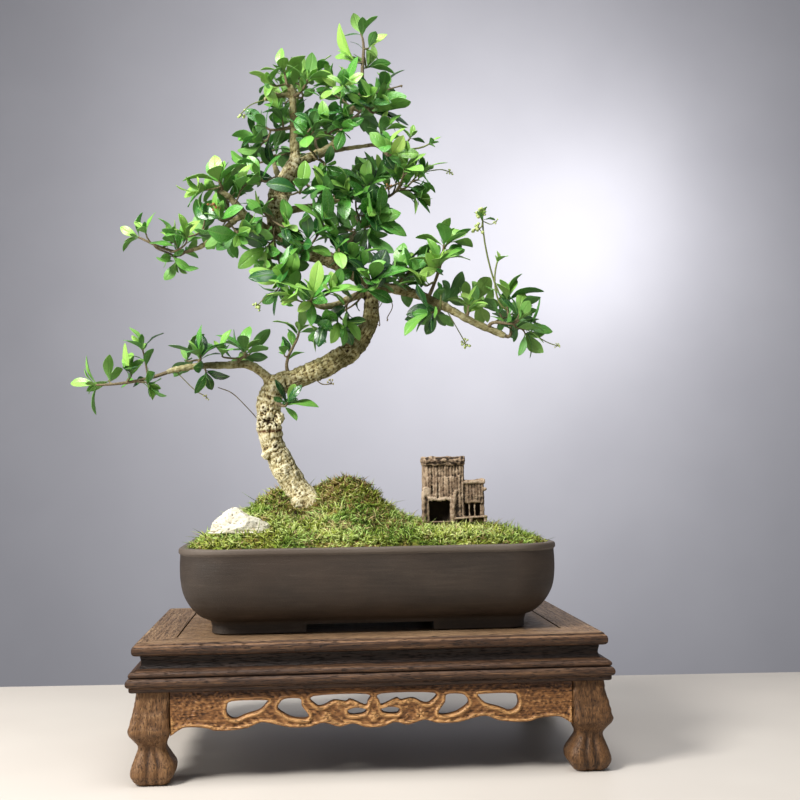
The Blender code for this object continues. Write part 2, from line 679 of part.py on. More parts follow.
def roughen(mesh, amount, lowest):
    """Push a mesh in and out along its normals by a soft noise, above a given height."""
    for vert in mesh.vertices:
        place = vert.co / MM
        fade = min(max((place.z - lowest) / 10, 0), 1)
        push = noise.noise(place * 0.11) + 0.6 * noise.noise(place * 0.27)
        vert.co += vert.normal * push * amount * fade * MM


def branch_line(points):
    """Centreline of a main branch, with points added where only a few are given."""
    return smooth_route(points, 2 if len(points) < 5 else 1)


def build_wood():
    """Trunk, main branches and burls, fused into one piece."""
    route = [Vector(point[:3]) for point in TRUNK_LINE]
    radii = [point[3] for point in TRUNK_LINE]
    trunk_mesh = tube_mesh("trunk", route, radii, 3)
    roughen(trunk_mesh, 1.3, 224)
    trunk = add_part("trunk", trunk_mesh, BARK)
    pieces = []
    for name, (points, start_radius, end_radius) in BRANCHES.items():
        line = branch_line(points)
        last = len(line) - 1
        taper = [start_radius + (end_radius - start_radius) * i / last for i in range(len(line))]
        mesh = tube_mesh(name, line, taper, 1)
        roughen(mesh, 0.35, 0)
        pieces.append(mesh)
    for place, radius in BURLS:
        bm = bmesh.new()
        bmesh.ops.create_icosphere(bm, subdivisions=1, radius=radius)
        bmesh.ops.scale(bm, vec=(1.0, 1.0, 1.25), verts=bm.verts)
        bmesh.ops.translate(bm, vec=place, verts=bm.verts)
        pieces.append(mesh_from("burl", bm))
    fuse(trunk, pieces)
    return trunk, route, radii


# Leafy sprays

# A rosette of leaves: where its spur ends, which way it points, how many leaves and how long.
Rosette = namedtuple("Rosette", "place axis leaves length")

# Each spray: its name, its root on the wood's centreline, and its rosettes.
SPRAYS = (
    ("apex_left", (-60, -6, 563), (
        ((-65, -10, 575), (-3, -2, 10), 4, 24),
        ((-77, -16, 562), (-9, -3, 5), 3, 22),
    )),
    ("apex_centre", (-58, -6, 554), (
        ((-45, -20, 565), (3, -3, 10), 3, 24),
        ((-36, -4, 578), (4, 0, 10), 3, 24),
        ((-51, 14, 578), (2, 5, 10), 3, 24),
        ((-67, 22, 565), (-6, 8, 4), 3, 22),
    )),
    ("apex_middle", (-3, 6, 554), (
        ((-23, -12, 565), (-4, -3, 9), 3, 26),
        ((-11, -22, 560), (1, -6, 8), 3, 26),
    )),
    ("apex_top", (3, 2, 577), (
        ((2, 0, 613), (-4, 0, 10), 3, 21),
        ((9, 0, 600), (9, 0, 8), 1, 24),
        ((-3, -2, 587), (-5, -1, 9), 1, 32),
        ((8, 8, 586), (5, 5, 8), 3, 26),
    )),
    ("apex_right", (-1, 5, 558), (
        ((15, -8, 541), (9, -4, 3), 3, 34),
        ((20, 0, 564), (6, -2, 8), 3, 26),
        ((5, -22, 543), (3, -7, 5), 3, 24),
    )),
    ("apex_back", (-10, 8, 540), (
        ((8, 36, 559), (5, 7, 6), 4, 26),
        ((-14, 42, 568), (-1, 9, 6), 4, 26),
    )),
    ("apex_left_low", (-57, -4, 527), (
        ((-81, -10, 526), (-8, -2, 6), 3, 24),
        ((-84, -8, 514), (-10, -1, 1), 3, 26),
        ((-70, -14, 540), (-5, -3, 8), 3, 22),
    )),
    ("crown_front", (-20, 8, 519), (
        ((-31, -24, 522), (-1, -8, 6), 3, 26),
        ((-12, -30, 526), (2, -8, 6), 3, 24),
    )),
    ("crown_under", (-40, 4, 505), (
        ((-30, -14, 492), (3, -5, -7), 3, 24),
        ((-48, -30, 513), (-2, -8, 6), 3, 24),
    )),
    ("crown_back", (-33, 6, 509), (
        ((-36, 44, 541), (0, 9, 5), 4, 26),
        ((-54, 36, 546), (-4, 8, 5), 4, 24),
    )),
    ("right_mid", (9, -14, 510), (
        ((25, -34, 497), (3, -7, 2), 3, 24),
        ((17, -14, 520), (0, 0, 10), 3, 24),
        ((42, -24, 514), (4, 0, 9), 3, 16),
        ((59, -20, 510), (9, 0, 6), 3, 12),
    )),
    ("mid_right_end", (13, 18, 470), (
        ((36, -6, 478), (3, -6, 3), 4, 24),
        ((36, -30, 486), (0, -7, 7), 4, 24),
        ((52, -20, 485), (8, -3, 5), 4, 26),
        ((48, 10, 475), (8, 2, -3), 3, 24),
    )),
    ("mid_right_inner", (-6, 24, 473), (
        ((6, -4, 477), (-1, -7, 6), 3, 28),
        ((-11, -10, 468), (-3, -8, 2), 3, 26),
        ((13, 2, 454), (3, -5, -6), 3, 28),
        ((4, -2, 439), (6, -2, -8), 2, 36),
    )),
    ("mid_right_back", (-21, 24, 471), (
        ((4, 56, 497), (2, 8, 6), 4, 26),
        ((28, 48, 499), (6, 7, 4), 4, 26),
        ((-16, 66, 493), (-4, 8, 4), 4, 26),
    )),
    ("mid_front", (-67, 3, 476), (
        ((-52, -32, 466), (1, -9, 3), 4, 28),
        ((-33, -16, 469), (5, -7, 3), 3, 26),
    )),
    ("trunk_left_up", (-65, 2, 481), (
        ((-86, -14, 481), (-7, -4, 7), 4, 28),
    )),
    ("left_upper_tip", (-119, -22, 468), (
        ((-120, -28, 476), (-3, -2, 10), 4, 28),
        ((-134, -26, 467), (-10, -2, -2), 4, 28),
    )),
    ("left_upper_mid", (-103, -16, 454), (
        ((-119, -31, 442), (-4, -8, 4), 3, 26),
        ((-102, -28, 468), (1, -2, 10), 3, 24),
        ((-116, 8, 467), (-4, 8, 4), 3, 26),
        ((-104, -30, 429), (2, -6, -5), 3, 26),
    )),
    ("far_left", (-145, 8, 423), (
        ((-192, 12, 435), (-9, 0, 4), 3, 22),
        ((-161, 4, 433), (-3, -3, 10), 4, 28),
        ((-149, -4, 431), (-1, -6, 8), 3, 26),
        ((-137, 30, 447), (-2, 8, 6), 3, 26),
        ((-160, 16, 414), (-2, 3, -8), 3, 22),
    )),
    ("centre_left", (-66, 9, 435), (
        ((-83, -20, 450), (-6, -6, 5), 3, 24),
        ((-64, -28, 437), (2, -9, 2), 3, 24),
        ((-81, -14, 421), (-5, -4, -7), 3, 32),
        ((-65, -20, 392), (-9, -3, 1), 3, 34),
        ((-73, -8, 385), (-6, 0, -7), 3, 20),
    )),
    ("centre_front_top", (-45, 10, 422), (
        ((-46, -32, 424), (-1, -8, 7), 3, 26),
        ((-31, -26, 436), (4, -8, 0), 3, 30),
    )),
    ("centre_front", (-45, -39, 371), (
        ((-43, -50, 374), (2, -5, 9), 4, 34),
        ((-56, -44, 372), (-9, -3, 3), 3, 26),
        ((-28, -54, 377), (5, -6, 6), 3, 28),
    )),
    ("centre_right", (-12, 6, 407), (
        ((-9, -26, 407), (1, -6, 8), 3, 26),
        ((-22, -30, 416), (-1, -8, 5), 3, 26),
    )),
    ("centre_low", (-9, -14, 378), (
        ((7, -32, 390), (2, -8, 4), 4, 30),
        ((23, -24, 396), (7, -3, 6), 3, 28),
        ((-22, -38, 354), (1, -6, -6), 3, 28),
        ((-37, -30, 350), (-4, -3, -8), 3, 26),
    )),
    ("back_mid", (-5, 64, 446), (
        ((5, 84, 464), (4, 6, 7), 4, 26),
        ((-17, 88, 461), (-6, 6, 5), 4, 26),
        ((-4, 92, 440), (0, 9, -3), 4, 26),
    )),
    ("back_upper", (-77, 52, 514), (
        ((-81, 66, 530), (-2, 5, 9), 4, 26),
        ((-98, 58, 513), (-9, 3, 3), 4, 26),
        ((-61, 72, 526), (6, 7, 4), 3, 26),
    )),
    ("right_inner", (32, -9, 386), (
        ((34, -18, 399), (0, -3, 9), 4, 28),
        ((49, -8, 410), (4, 2, 9), 3, 26),
        ((39, 26, 395), (1, 8, 6), 3, 26),
    )),
    ("right_rosette", (56, -15, 377), (
        ((69, -28, 422), (1, 0, 10), 5, 28),
        ((63, -35, 404), (-2, -4, 9), 5, 28),
        ((51, -28, 388), (-5, -4, 8), 3, 26),
    )),
    ("right_under", (68, -18, 370), (
        ((57, -28, 363), (-9, -3, -3), 2, 34),
        ((66, -26, 379), (1, 0, 10), 2, 14),
        ((77, 16, 380), (3, 8, 6), 4, 26),
    )),
    ("right_mid_rosette", (87, -23, 359), (
        ((89, -28, 370), (0, -2, 10), 5, 20),
        ((100, 6, 379), (4, 7, 7), 4, 24),
    )),
    ("right_big", (118, -28, 344), (
        ((122, -30, 375), (1, -1, 10), 5, 34),
        ((114, -30, 406), (3, 0, 9), 2, 14),
        ((102, -30, 444), (0, 0, 10), 4, 12),
    )),
    ("right_end", (106, -26, 350), (
        ((129, -44, 355), (5, -4, 7), 3, 26),
        ((138, -32, 348), (10, -1, -1), 3, 28),
        ((130, -6, 365), (6, 7, 5), 3, 26),
    )),
    ("low_left_tip", (-164, -27, 314), (
        ((-220, -33, 304), (-10, 0, 0), 3, 27),
        ((-192, -36, 314), (-5, -3, 9), 3, 26),
        ((-183, -30, 334), (-3, 0, 10), 3, 24),
        ((-178, -34, 304), (5, -4, -8), 3, 22),
    )),
    ("low_left_mid", (-137, -22, 320), (
        ((-136, -27, 329), (-1, -2, 10), 5, 28),
        ((-131, -32, 313), (0, -4, -9), 2, 24),
        ((-150, 2, 327), (-3, 8, 6), 3, 24),
    )),
    ("low_left_near", (-106, -12, 322), (
        ((-99, -17, 333), (1, -1, 10), 4, 28),
        ((-118, -26, 329), (0, -3, 10), 3, 24),
        ((-97, 18, 334), (2, 8, 6), 3, 26),
    )),
    ("sprout", (-62, 2, 309), (
        ((-54, -8, 350), (2, -1, 10), 3, 24),
        ((-67, -4, 331), (-4, 0, 10), 3, 16),
    )),
    ("trunk_sprout", (-80, 5, 290), (
        ((-64, -14, 289), (5, -6, 7), 4, 26),
    )),
)

# Share of the length, of the half-width and of the arch at each section of the blade.
LEAF_SECTIONS = ((0.36, 0.64, 0.9), (0.74, 1.0, 0.8), (1.0, 0.0, 0.0))
LEAF_ARCH = 0.07               # rise of the blade's middle over its chord, per length
SPUR_STEP = 1.5                # stretch of a spur that carries a pair of leaves
FORK_STEP = 2.2                # stretch of a stem that a twig grows from
TWIG_STOPS = (0.45, 1.0)        # where a twig has sections along its curve
TWIG_BENDS = (0.3, 0.55, 0.1)  # handles of a twig's curve over its reach, in the order of trying

Leaf = namedtuple("Leaf", "base axis normal length")


def bezier_point(handles, t):
    """A point of a cubic curve with the given end points and handles."""
    a, b, c, d = handles
    s = 1 - t
    return a * s ** 3 + b * 3 * s * s * t + c * 3 * s * t * t + d * t ** 3


def spur_stretches(rosette):
    """How many stretches of the spur carry pairs of leaves; one more leaf ends the spur."""
    return rosette.leaves // 2


def spur_frame(rosette_index, rosette):
    """The spur's axis and two directions across it, turned from one rosette to the next."""
    axis = Vector(rosette.axis).normalized()
    turn = Matrix.Rotation((rosette_index + 1) * 2.1, 3, axis)
    first = turn @ axis.orthogonal().normalized()
    return axis, first, axis.cross(first)


def leaf_pose(spray, rosette_index, rosette, index, attempt):
    """Where one leaf of a rosette grows; index 0 is the lowest, and the last one ends the spur."""
    draw = random.Random(f"{spray} {rosette_index} {index} {attempt}")
    axis, first, second = spur_frame(rosette_index, rosette)
    last = index == rosette.leaves - 1
    stretch = index // 2
    turn = math.radians(90) * (stretch + 2 * (index % 2)) + draw.uniform(-0.35, 0.35)
    opening = draw.uniform(0.1, 0.5) if last else math.radians(72 - 9 * stretch + draw.uniform(-14, 14))
    if rosette.leaves == 1:
        opening = 0.05
    spread = first * math.cos(turn) + second * math.sin(turn)
    direction = (axis * math.cos(opening) + spread * math.sin(opening) + UP * 0.1).normalized()
    normal = axis * math.sin(opening) - spread * math.cos(opening) + UP * 0.3
    normal = (normal - direction * normal.dot(direction)).normalized()
    normal = Matrix.Rotation(draw.uniform(-0.4, 0.4), 3, direction) @ normal
    length = rosette.length * (1 - 0.05 * index) * draw.uniform(0.86, 1.12)
    base = Vector(rosette.place)
    if not last:
        base = base - axis * SPUR_STEP * (spur_stretches(rosette) - stretch - 0.5) + spread * 0.7
    return Leaf(base, direction, normal, length)


def leaf_sections(leaf, start=0.0, thickness=BLADE, swell=0.0):
    """Four corners of each section of a blade, from near its base to its tip."""
    across = leaf.normal.cross(leaf.axis)
    half_width = leaf.length * LEAF_WIDTH / 2
    rows = [(start, 0.15, 0.3)] * (start > 0) + list(LEAF_SECTIONS)
    sections = []
    for along, width, arch in rows:
        spine = leaf.base + leaf.axis * leaf.length * along
        spine += leaf.normal * leaf.length * LEAF_ARCH * arch
        side = across * (half_width * width + swell)
        rise = leaf.normal * thickness / 2
        sections.append([spine + side + rise, spine - side + rise,
                         spine - side - rise, spine + side - rise])
    return sections


def leaf_proxy(leaf, swell, thickness):
    """A slightly swollen blade without its root, as points and faces."""
    sections = leaf_sections(leaf, 0.12, thickness, swell)
    points = [corner for section in sections for corner in section]
    faces = [(0, 1, 2, 3), tuple(range(len(points) - 4, len(points)))]
    for low in range(0, len(points) - 4, 4):
        for side in range(4):
            after = (side + 1) % 4
            faces.append((low + side, low + after, low + after + 4, low + side + 4))
    return points, faces


def extrude_to(bm, face, corners):
    """Extrude a four-sided face to new corners, matched so that the sides don't twist."""
    grown = bmesh.ops.extrude_discrete_faces(bm, faces=[face])["faces"][0]
    verts = list(grown.verts)
    middle = sum((vert.co for vert in verts), Vector()) / 4
    target = sum(corners, Vector()) / 4

    def match(shift):
        turned = [corners[(i + shift) % 4] - target for i in range(4)]
        return sum((vert.co - middle).dot(corner) for vert, corner in zip(verts, turned))

    shift = max(range(4), key=match)
    for i, vert in enumerate(verts):
        vert.co = corners[(i + shift) % 4]
    return grown


def walls_round(face):
    """The corners of each wall next to a freshly extruded face."""
    return [list(other.verts) for edge in face.edges for other in edge.link_faces if other is not face]


def square_ring(centre, first, second, radius):
    """Corners of a square section, anticlockwise about the cross product of two directions."""
    corners = ((1, -1), (1, 1), (-1, 1), (-1, -1))
    return [centre + (first * a + second * b) * radius / math.sqrt(2) for a, b in corners]


def grow_stem(bm, face, handles, stops, radii):
    """Extrude a stem along a cubic curve, and return its end face and each stretch's walls."""
    walls = []
    first = (face.verts[1].co - face.verts[0].co).normalized()
    for t, radius in zip(stops, radii):
        ahead = bezier_point(handles, min(t + 0.02, 1)) - bezier_point(handles, t - 0.02)
        ahead.normalize()
        first = (first - ahead * first.dot(ahead)).normalized()
        ring = square_ring(bezier_point(handles, t), first, ahead.cross(first), radius)
        face = extrude_to(bm, face, ring)
        walls.append(walls_round(face))
    return face, walls


def grow_spur(bm, face, rosette_index, rosette):
    """Extrude the stretches that a rosette's leaves stand on, and return their walls' corners."""
    axis, first, second = spur_frame(rosette_index, rosette)
    stretches = spur_stretches(rosette)
    walls = []
    for step in range(stretches):
        centre = Vector(rosette.place) - axis * SPUR_STEP * (stretches - 1 - step)
        face = extrude_to(bm, face, square_ring(centre, first, second, TWIG_RADIUS))
        walls.append(walls_round(face))
    return walls + [[list(face.verts)]]


class Clearances:
    """Shapes already placed, each with a ball round it for a quick first test."""

    def __init__(self):
        self.shapes = []

    def add(self, owner, points, faces):
        """Remember a shape under its owner's name."""
        self.shapes.append((owner, *ball(points), BVHTree.FromPolygons(points, faces)))

    def free(self, owner, points, faces):
        """Tell whether a shape touches none of those placed by other owners."""
        centre, reach = ball(points)
        tree = BVHTree.FromPolygons(points, faces)
        for other_owner, other_centre, other_reach, other in self.shapes:
            near = (centre - other_centre).length < reach + other_reach
            if near and other_owner != owner and tree.overlap(other):
                return False
        return True


def crosses_itself(bm):
    """Tell whether two faces of a mesh that share no corner meet."""
    bm.faces.index_update()
    bm.faces.ensure_lookup_table()
    tree = BVHTree.FromBMesh(bm)
    for one, other in tree.overlap(tree):
        if one < other and not set(bm.faces[one].verts) & set(bm.faces[other].verts):
            return True
    return False


def grow_if_clear(bm, corners, grow):
    """Grow from the wall between four corners, and take it back if it crosses the rest."""
    wall = bm.faces.get(corners)
    if wall is None:
        return None
    kept = set(bm.verts)
    grown = grow(wall)
    if crosses_itself(bm):
        bmesh.ops.delete(bm, geom=[vert for vert in bm.verts if vert not in kept], context="VERTS")
        bm.faces.new(corners)
        return None
    return grown


def ball(points):
    """Centre and radius of a ball round some points."""
    centre = sum(points, Vector()) / len(points)
    return centre, max((point - centre).length for point in points)


def nearest_on_wood(place, lines):
    """The direction of the closest centreline, and whether the place is at that line's end."""
    best = None
    for line in lines:
        for index, (a, b) in enumerate(zip(line, line[1:])):
            share = min(max((place - a).dot(b - a) / (b - a).length_squared, 0), 1)
            distance = (place - a.lerp(b, share)).length
            if best is None or distance < best[0]:
                at_end = index == len(line) - 2 and share > 0.9
                best = (distance, (b - a).normalized(), at_end)
    return best[1], best[2]


def stem_start(root, heading, radius, wood_tree):
    """The point just outside the wood where a stem of this radius begins."""
    outside = root + heading * 40
    side = heading.orthogonal().normalized()
    closest = 40.0
    for index in range(9):
        angle = 2 * math.pi * index / 8
        rim = side * math.cos(angle) + heading.cross(side) * math.sin(angle)
        offset = rim * radius * (index < 8)
        hit = wood_tree.ray_cast(outside + offset, -heading)
        if hit[0] is not None:
            closest = min(closest, hit[3])
    return outside - heading * (closest - GAP - 0.1)


def spur_start(rosette):
    """Where the stem ends and the spur begins."""
    axis = Vector(rosette.axis).normalized()
    return Vector(rosette.place) - axis * SPUR_STEP * spur_stretches(rosette), axis


def fork_stops(handles, rosettes, half_fork):
    """How far along the main stem each twig forks off, well apart from each other."""
    samples = [(t / 20, bezier_point(handles, t / 20)) for t in range(5, 17)]
    start = handles[0]
    stops = {}
    for index, rosette in enumerate(rosettes[1:], 1):
        place = Vector(rosette.place)

        def cost(sample):
            return (sample[1] - place).length + 0.4 * (sample[1] - start).length

        stops[index] = min(samples, key=cost)[0]
    spaced = {}
    previous = 0.0
    for index in sorted(stops, key=stops.get):
        previous = max(stops[index], previous + max(0.15, 2.5 * half_fork))
        spaced[index] = min(previous, 1 - 2.5 * half_fork)
    return spaced


def tube_proxy(route, radius):
    """Boxes along a route, a little wider than a stem there, as points and faces."""
    points = []
    faces = []
    for a, b in zip(route, route[1:]):
        along = (b - a).normalized()
        side = along.orthogonal().normalized()
        start = len(points)
        for place in (a, b):
            points += square_ring(place, side, along.cross(side), radius)
        for corner in range(4):
            after = (corner + 1) % 4
            faces.append((start + corner, start + after, start + after + 4, start + corner + 4))
    return points, faces


def grow_twig(bm, name, node, fork, rosette_index, rosette, placed):
    """Grow a twig and its spur from the wall of a stem that lets it pass clear of everything."""
    place, axis = spur_start(rosette)
    aim = (place - fork).normalized()
    choices = []
    for corners in node:
        begin = sum((vert.co for vert in corners), Vector()) / 4
        facing = (begin - fork).normalized()
        for rise in TWIG_BENDS:
            for lean in TWIG_BENDS:
                rank = TWIG_BENDS.index(rise) + TWIG_BENDS.index(lean)
                choices.append((facing.dot(aim) - 0.25 * rank, begin, facing, corners, rise, lean))
    choices.sort(key=lambda choice: -choice[0])
    for _, begin, facing, corners, rise, lean in choices:
        reach = (place - begin).length
        out = (facing + aim * 0.6).normalized()
        twig = (begin, begin + out * reach * rise, place - axis * reach * lean, place)
        route = [bezier_point(twig, t) for t in (0.12, *TWIG_STOPS)] + [Vector(rosette.place)]
        if not placed.free(name, *tube_proxy(route, TWIG_RADIUS + 2 * LEAF_CLEARANCE)):
            continue

        def grow(wall):
            end, _ = grow_stem(bm, wall, twig, TWIG_STOPS, (TWIG_RADIUS,) * len(TWIG_STOPS))
            return grow_spur(bm, end, rosette_index, rosette)

        spur = grow_if_clear(bm, corners, grow)
        if spur:
            return spur
    return None


def grow_spray(name, root, rosettes, lines, wood_tree, placed):
    """Main stem, twigs and spurs of one spray, and the walls that its leaves grow from."""
    root = Vector(root)
    target, axis = spur_start(rosettes[0])
    tangent, at_end = nearest_on_wood(root, lines)
    heading = tangent
    if not at_end:
        heading = target - root
        heading = (heading - tangent * heading.dot(tangent)).normalized()
    start = stem_start(root, heading, STEM_RADIUS, wood_tree)
    reach = (target - start).length
    handles = (start, start + heading * reach * 0.35, target - axis * reach * 0.3, target)
    half_fork = FORK_STEP / 2 / reach
    forks = fork_stops(handles, rosettes, half_fork)
    stops = [t + side * half_fork for t in set(forks.values()) for side in (-1, 1)]
    between = [t for t in (0.33, 0.66) if all(abs(t - stop) > 0.1 for stop in stops)]
    stops = sorted(stops + between) + [1.0]
    radii = [STEM_RADIUS + (TWIG_RADIUS - STEM_RADIUS) * t for t in stops]

    bm = bmesh.new()
    side = heading.orthogonal().normalized()
    ring = square_ring(start, side, heading.cross(side), STEM_RADIUS)
    face = bm.faces.new([bm.verts.new(corner) for corner in ring])
    end, walls = grow_stem(bm, face, handles, stops, radii)
    spurs = {0: grow_spur(bm, end, 0, rosettes[0])}
    for index, t in forks.items():
        node = walls[stops.index(t + half_fork)]
        fork = bezier_point(handles, t)
        spurs[index] = grow_twig(bm, name, node, fork, index, rosettes[index], placed)
    return bm, spurs


def middle_of(verts):
    """The middle of a wall's corners."""
    return sum((vert.co for vert in verts), Vector()) / len(verts)


def grow_leaf(bm, name, rosette_index, rosette, index, spur, placed):
    """Extrude a blade from a wall of its spur, in the first of its poses that touches nothing."""
    for attempt in range(LEAF_TRIES):
        leaf = leaf_pose(name, rosette_index, rosette, index, attempt)
        if not placed.free(name, *leaf_proxy(leaf, LEAF_CLEARANCE, BLADE + 2 * LEAF_CLEARANCE)):
            continue
        corners = spur[-1][0]
        if index < rosette.leaves - 1:
            axis = Vector(rosette.axis).normalized()
            outward = leaf.axis - axis * leaf.axis.dot(axis)
            walls = [wall for wall in spur[index // 2] if bm.faces.get(wall)]
            corners = max(walls, key=lambda wall: middle_of(wall).dot(outward))

        def grow(wall):
            for ring in leaf_sections(leaf):
                wall = extrude_to(bm, wall, ring)
            return wall

        if grow_if_clear(bm, corners, grow):
            placed.add(name, *leaf_proxy(leaf, 0.0, BLADE))
            return


def wood_lines():
    """Centrelines of the trunk and of each main branch."""
    trunk = [Vector(point[:3]) for point in TRUNK_LINE]
    return [trunk] + [branch_line(row[0]) for row in BRANCHES.values()]


def bm_shape(bm):
    """Points and faces of a bmesh."""
    bm.verts.index_update()
    faces = [tuple(vert.index for vert in face.verts) for face in bm.faces]
    return [vert.co.copy() for vert in bm.verts], faces


def close_mesh(bm):
    """Weld the tips of the blades and close the root of the stem."""
    bmesh.ops.remove_doubles(bm, verts=bm.verts, dist=0.001)
    rim = [edge for edge in bm.edges if edge.is_boundary]
    bmesh.ops.holes_fill(bm, edges=rim, sides=4)


def build_sprays(trunk):
    """Grow all stems first, then each leaf in the first of its poses that touches nothing."""
    wood_points = [vert.co / MM for vert in trunk.data.vertices]
    wood_faces = [tuple(face.vertices) for face in trunk.data.polygons]
    wood_tree = BVHTree.FromPolygons(wood_points, wood_faces)
    placed = Clearances()
    placed.add("trunk", wood_points, wood_faces)
    lines = wood_lines()
    sprays = []
    for name, root, rows in SPRAYS:
        rosettes = [Rosette(*row) for row in rows]
        bm, spurs = grow_spray(name, root, rosettes, lines, wood_tree, placed)
        placed.add(name, *bm_shape(bm))
        sprays.append((name, rosettes, bm, spurs))
    for name, rosettes, bm, spurs in sprays:
        for rosette_index, rosette in enumerate(rosettes):
            for index in range(rosette.leaves if spurs[rosette_index] else 0):
                grow_leaf(bm, name, rosette_index, rosette, index, spurs[rosette_index], placed)
        close_mesh(bm)
        add_part(f"leaves_{name}", mesh_from(f"leaves_{name}", bm), LEAF_GREEN)


def centre_origin():
    """Put the origin under the middle of the whole object's box."""
    view = bpy.context.evaluated_depsgraph_get()
    corners = []
    for thing in PARTS.objects:
        shape = thing.evaluated_get(view)
        corners += [shape.matrix_world @ Vector(corner) for corner in shape.bound_box]
    middle = Vector()
    for i in (0, 1):
        middle[i] = (min(c[i] for c in corners) + max(c[i] for c in corners)) / 2
    for thing in list(PARTS.objects) + list(CUTTERS.objects):
        thing.location -= middle


build_stand()
build_pot()
TRUNK, TRUNK_ROUTE, TRUNK_RADII = build_wood()
build_bed(TRUNK_ROUTE, TRUNK_RADII)
build_stone()
build_hut()
build_sprays(TRUNK)
centre_origin()
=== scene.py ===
import math
import random
from collections import namedtuple

import bmesh
import bpy
import numpy as np
from mathutils import Matrix, Vector, geometry, noise
from mathutils.bvhtree import BVHTree
from mathutils.kdtree import KDTree


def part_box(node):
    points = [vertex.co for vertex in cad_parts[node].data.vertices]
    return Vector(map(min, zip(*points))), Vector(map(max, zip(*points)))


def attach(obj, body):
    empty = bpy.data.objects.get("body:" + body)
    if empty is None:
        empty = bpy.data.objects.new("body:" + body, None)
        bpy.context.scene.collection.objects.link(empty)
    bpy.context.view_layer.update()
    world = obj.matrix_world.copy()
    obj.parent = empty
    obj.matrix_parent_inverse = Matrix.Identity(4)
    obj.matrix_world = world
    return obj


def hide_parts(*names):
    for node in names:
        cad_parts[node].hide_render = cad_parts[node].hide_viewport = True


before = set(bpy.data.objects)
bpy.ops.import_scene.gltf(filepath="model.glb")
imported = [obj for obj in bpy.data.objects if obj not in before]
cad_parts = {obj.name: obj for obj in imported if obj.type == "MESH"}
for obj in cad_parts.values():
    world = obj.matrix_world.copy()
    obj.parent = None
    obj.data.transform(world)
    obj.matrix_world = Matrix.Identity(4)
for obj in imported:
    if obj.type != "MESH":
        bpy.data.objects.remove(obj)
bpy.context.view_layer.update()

# Lengths are in millimetres, drawn about the middle of the stand with +Y away from the
# viewer, and become metres in the shared frame when a mesh is made.
MM = 0.001
UP = Vector((0.0, 0.0, 1.0))
PANEL_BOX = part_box("stand_panel")
SHIFT = np.array([(PANEL_BOX[0][axis] + PANEL_BOX[1][axis]) / 2 for axis in (0, 1)] + [0.0])


# Meshes

def new_mesh(name, points, faces, smooth_angle=None):
    """A mesh from points in millimetres."""
    mesh = bpy.data.meshes.new(name)
    mesh.from_pydata(np.asarray(points, float) * MM + SHIFT, [], faces)
    mesh.update()
    shade(mesh, smooth_angle)
    return mesh


def shade(mesh, smooth_angle):
    """Smooth shading, with edges sharper than an angle kept sharp."""
    if smooth_angle:
        mesh.shade_smooth()
        mesh.set_sharp_from_angle(angle=math.radians(smooth_angle))


def places(mesh):
    """The mesh's vertices in millimetres, as an array."""
    flat = np.zeros(len(mesh.vertices) * 3)
    mesh.vertices.foreach_get("co", flat)
    return (flat.reshape(-1, 3) - SHIFT) / MM


def move_to(mesh, points):
    """Put the mesh's vertices at places in millimetres."""
    mesh.vertices.foreach_set("co", (points * MM + SHIFT).ravel())
    mesh.update()


def normals(mesh):
    """The mesh's vertex normals as an array."""
    flat = np.zeros(len(mesh.vertices) * 3)
    mesh.vertex_normals.foreach_get("vector", flat)
    return flat.reshape(-1, 3)


def note(mesh, name, values):
    """Keep a number or a vector for each vertex, for the material to read."""
    values = np.asarray(values, np.float32)
    kind, key = ("FLOAT", "value") if values.ndim == 1 else ("FLOAT_VECTOR", "vector")
    mesh.attributes.new(name, kind, "POINT").data.foreach_set(key, values.ravel())


def neighbour_mean(mesh, values):
    """Mean of a value over each vertex and its neighbours."""
    edges = np.zeros(len(mesh.edges) * 2, int)
    mesh.edges.foreach_get("vertices", edges)
    a, b = edges.reshape(-1, 2).T
    total = values.copy()
    count = np.ones(len(values))
    np.add.at(total, a, values[b])
    np.add.at(total, b, values[a])
    np.add.at(count, a, 1)
    np.add.at(count, b, 1)
    return total / (count if values.ndim == 1 else count[:, None])


def smoothed(mesh, points, rounds):
    """Places of the vertices after some rounds of averaging with their neighbours."""
    for _ in range(rounds):
        points = neighbour_mean(mesh, points)
    return points


def hollows(mesh, rounds):
    """How far each vertex lies below its surroundings, negative on ridges."""
    points = places(mesh)
    return ((smoothed(mesh, points, rounds) - points) * normals(mesh)).sum(1)


def placed(name, data):
    """A new object in the scene."""
    thing = bpy.data.objects.new(name, data)
    bpy.context.scene.collection.objects.link(thing)
    return thing


def baked(thing):
    """The mesh that an object has with its modifiers applied."""
    view = bpy.context.evaluated_depsgraph_get()
    return bpy.data.meshes.new_from_object(thing.evaluated_get(view))


def melted(name, mesh, voxel):
    """One closed skin round overlapping closed shapes, with even faces of a given size."""
    thing = placed(name, mesh)
    modifier = thing.modifiers.new("skin", "REMESH")
    modifier.mode = "VOXEL"
    modifier.voxel_size = voxel * MM
    modifier.adaptivity = 0.0
    made = baked(thing)
    made.name = name
    bpy.data.objects.remove(thing)
    return made


def paint(mesh, *materials):
    """Give a mesh its materials, in place of any that it had."""
    if len(mesh.materials):
        mesh.materials.clear()
    for material in materials:
        mesh.materials.append(material)


def add_piece(name, mesh, materials, slot, *nodes):
    """Add a piece that rides on the object and stands for some of its nodes."""
    paint(mesh, *materials)
    piece = placed(name, mesh)
    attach(piece, "root")
    if nodes:
        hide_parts(*nodes)


def turned(points, angle):
    """Points turned about the upright axis through the origin."""
    c, s = math.cos(math.radians(angle)), math.sin(math.radians(angle))
    return np.asarray(points, float) @ np.array([[c, s, 0], [-s, c, 0], [0, 0, 1]])


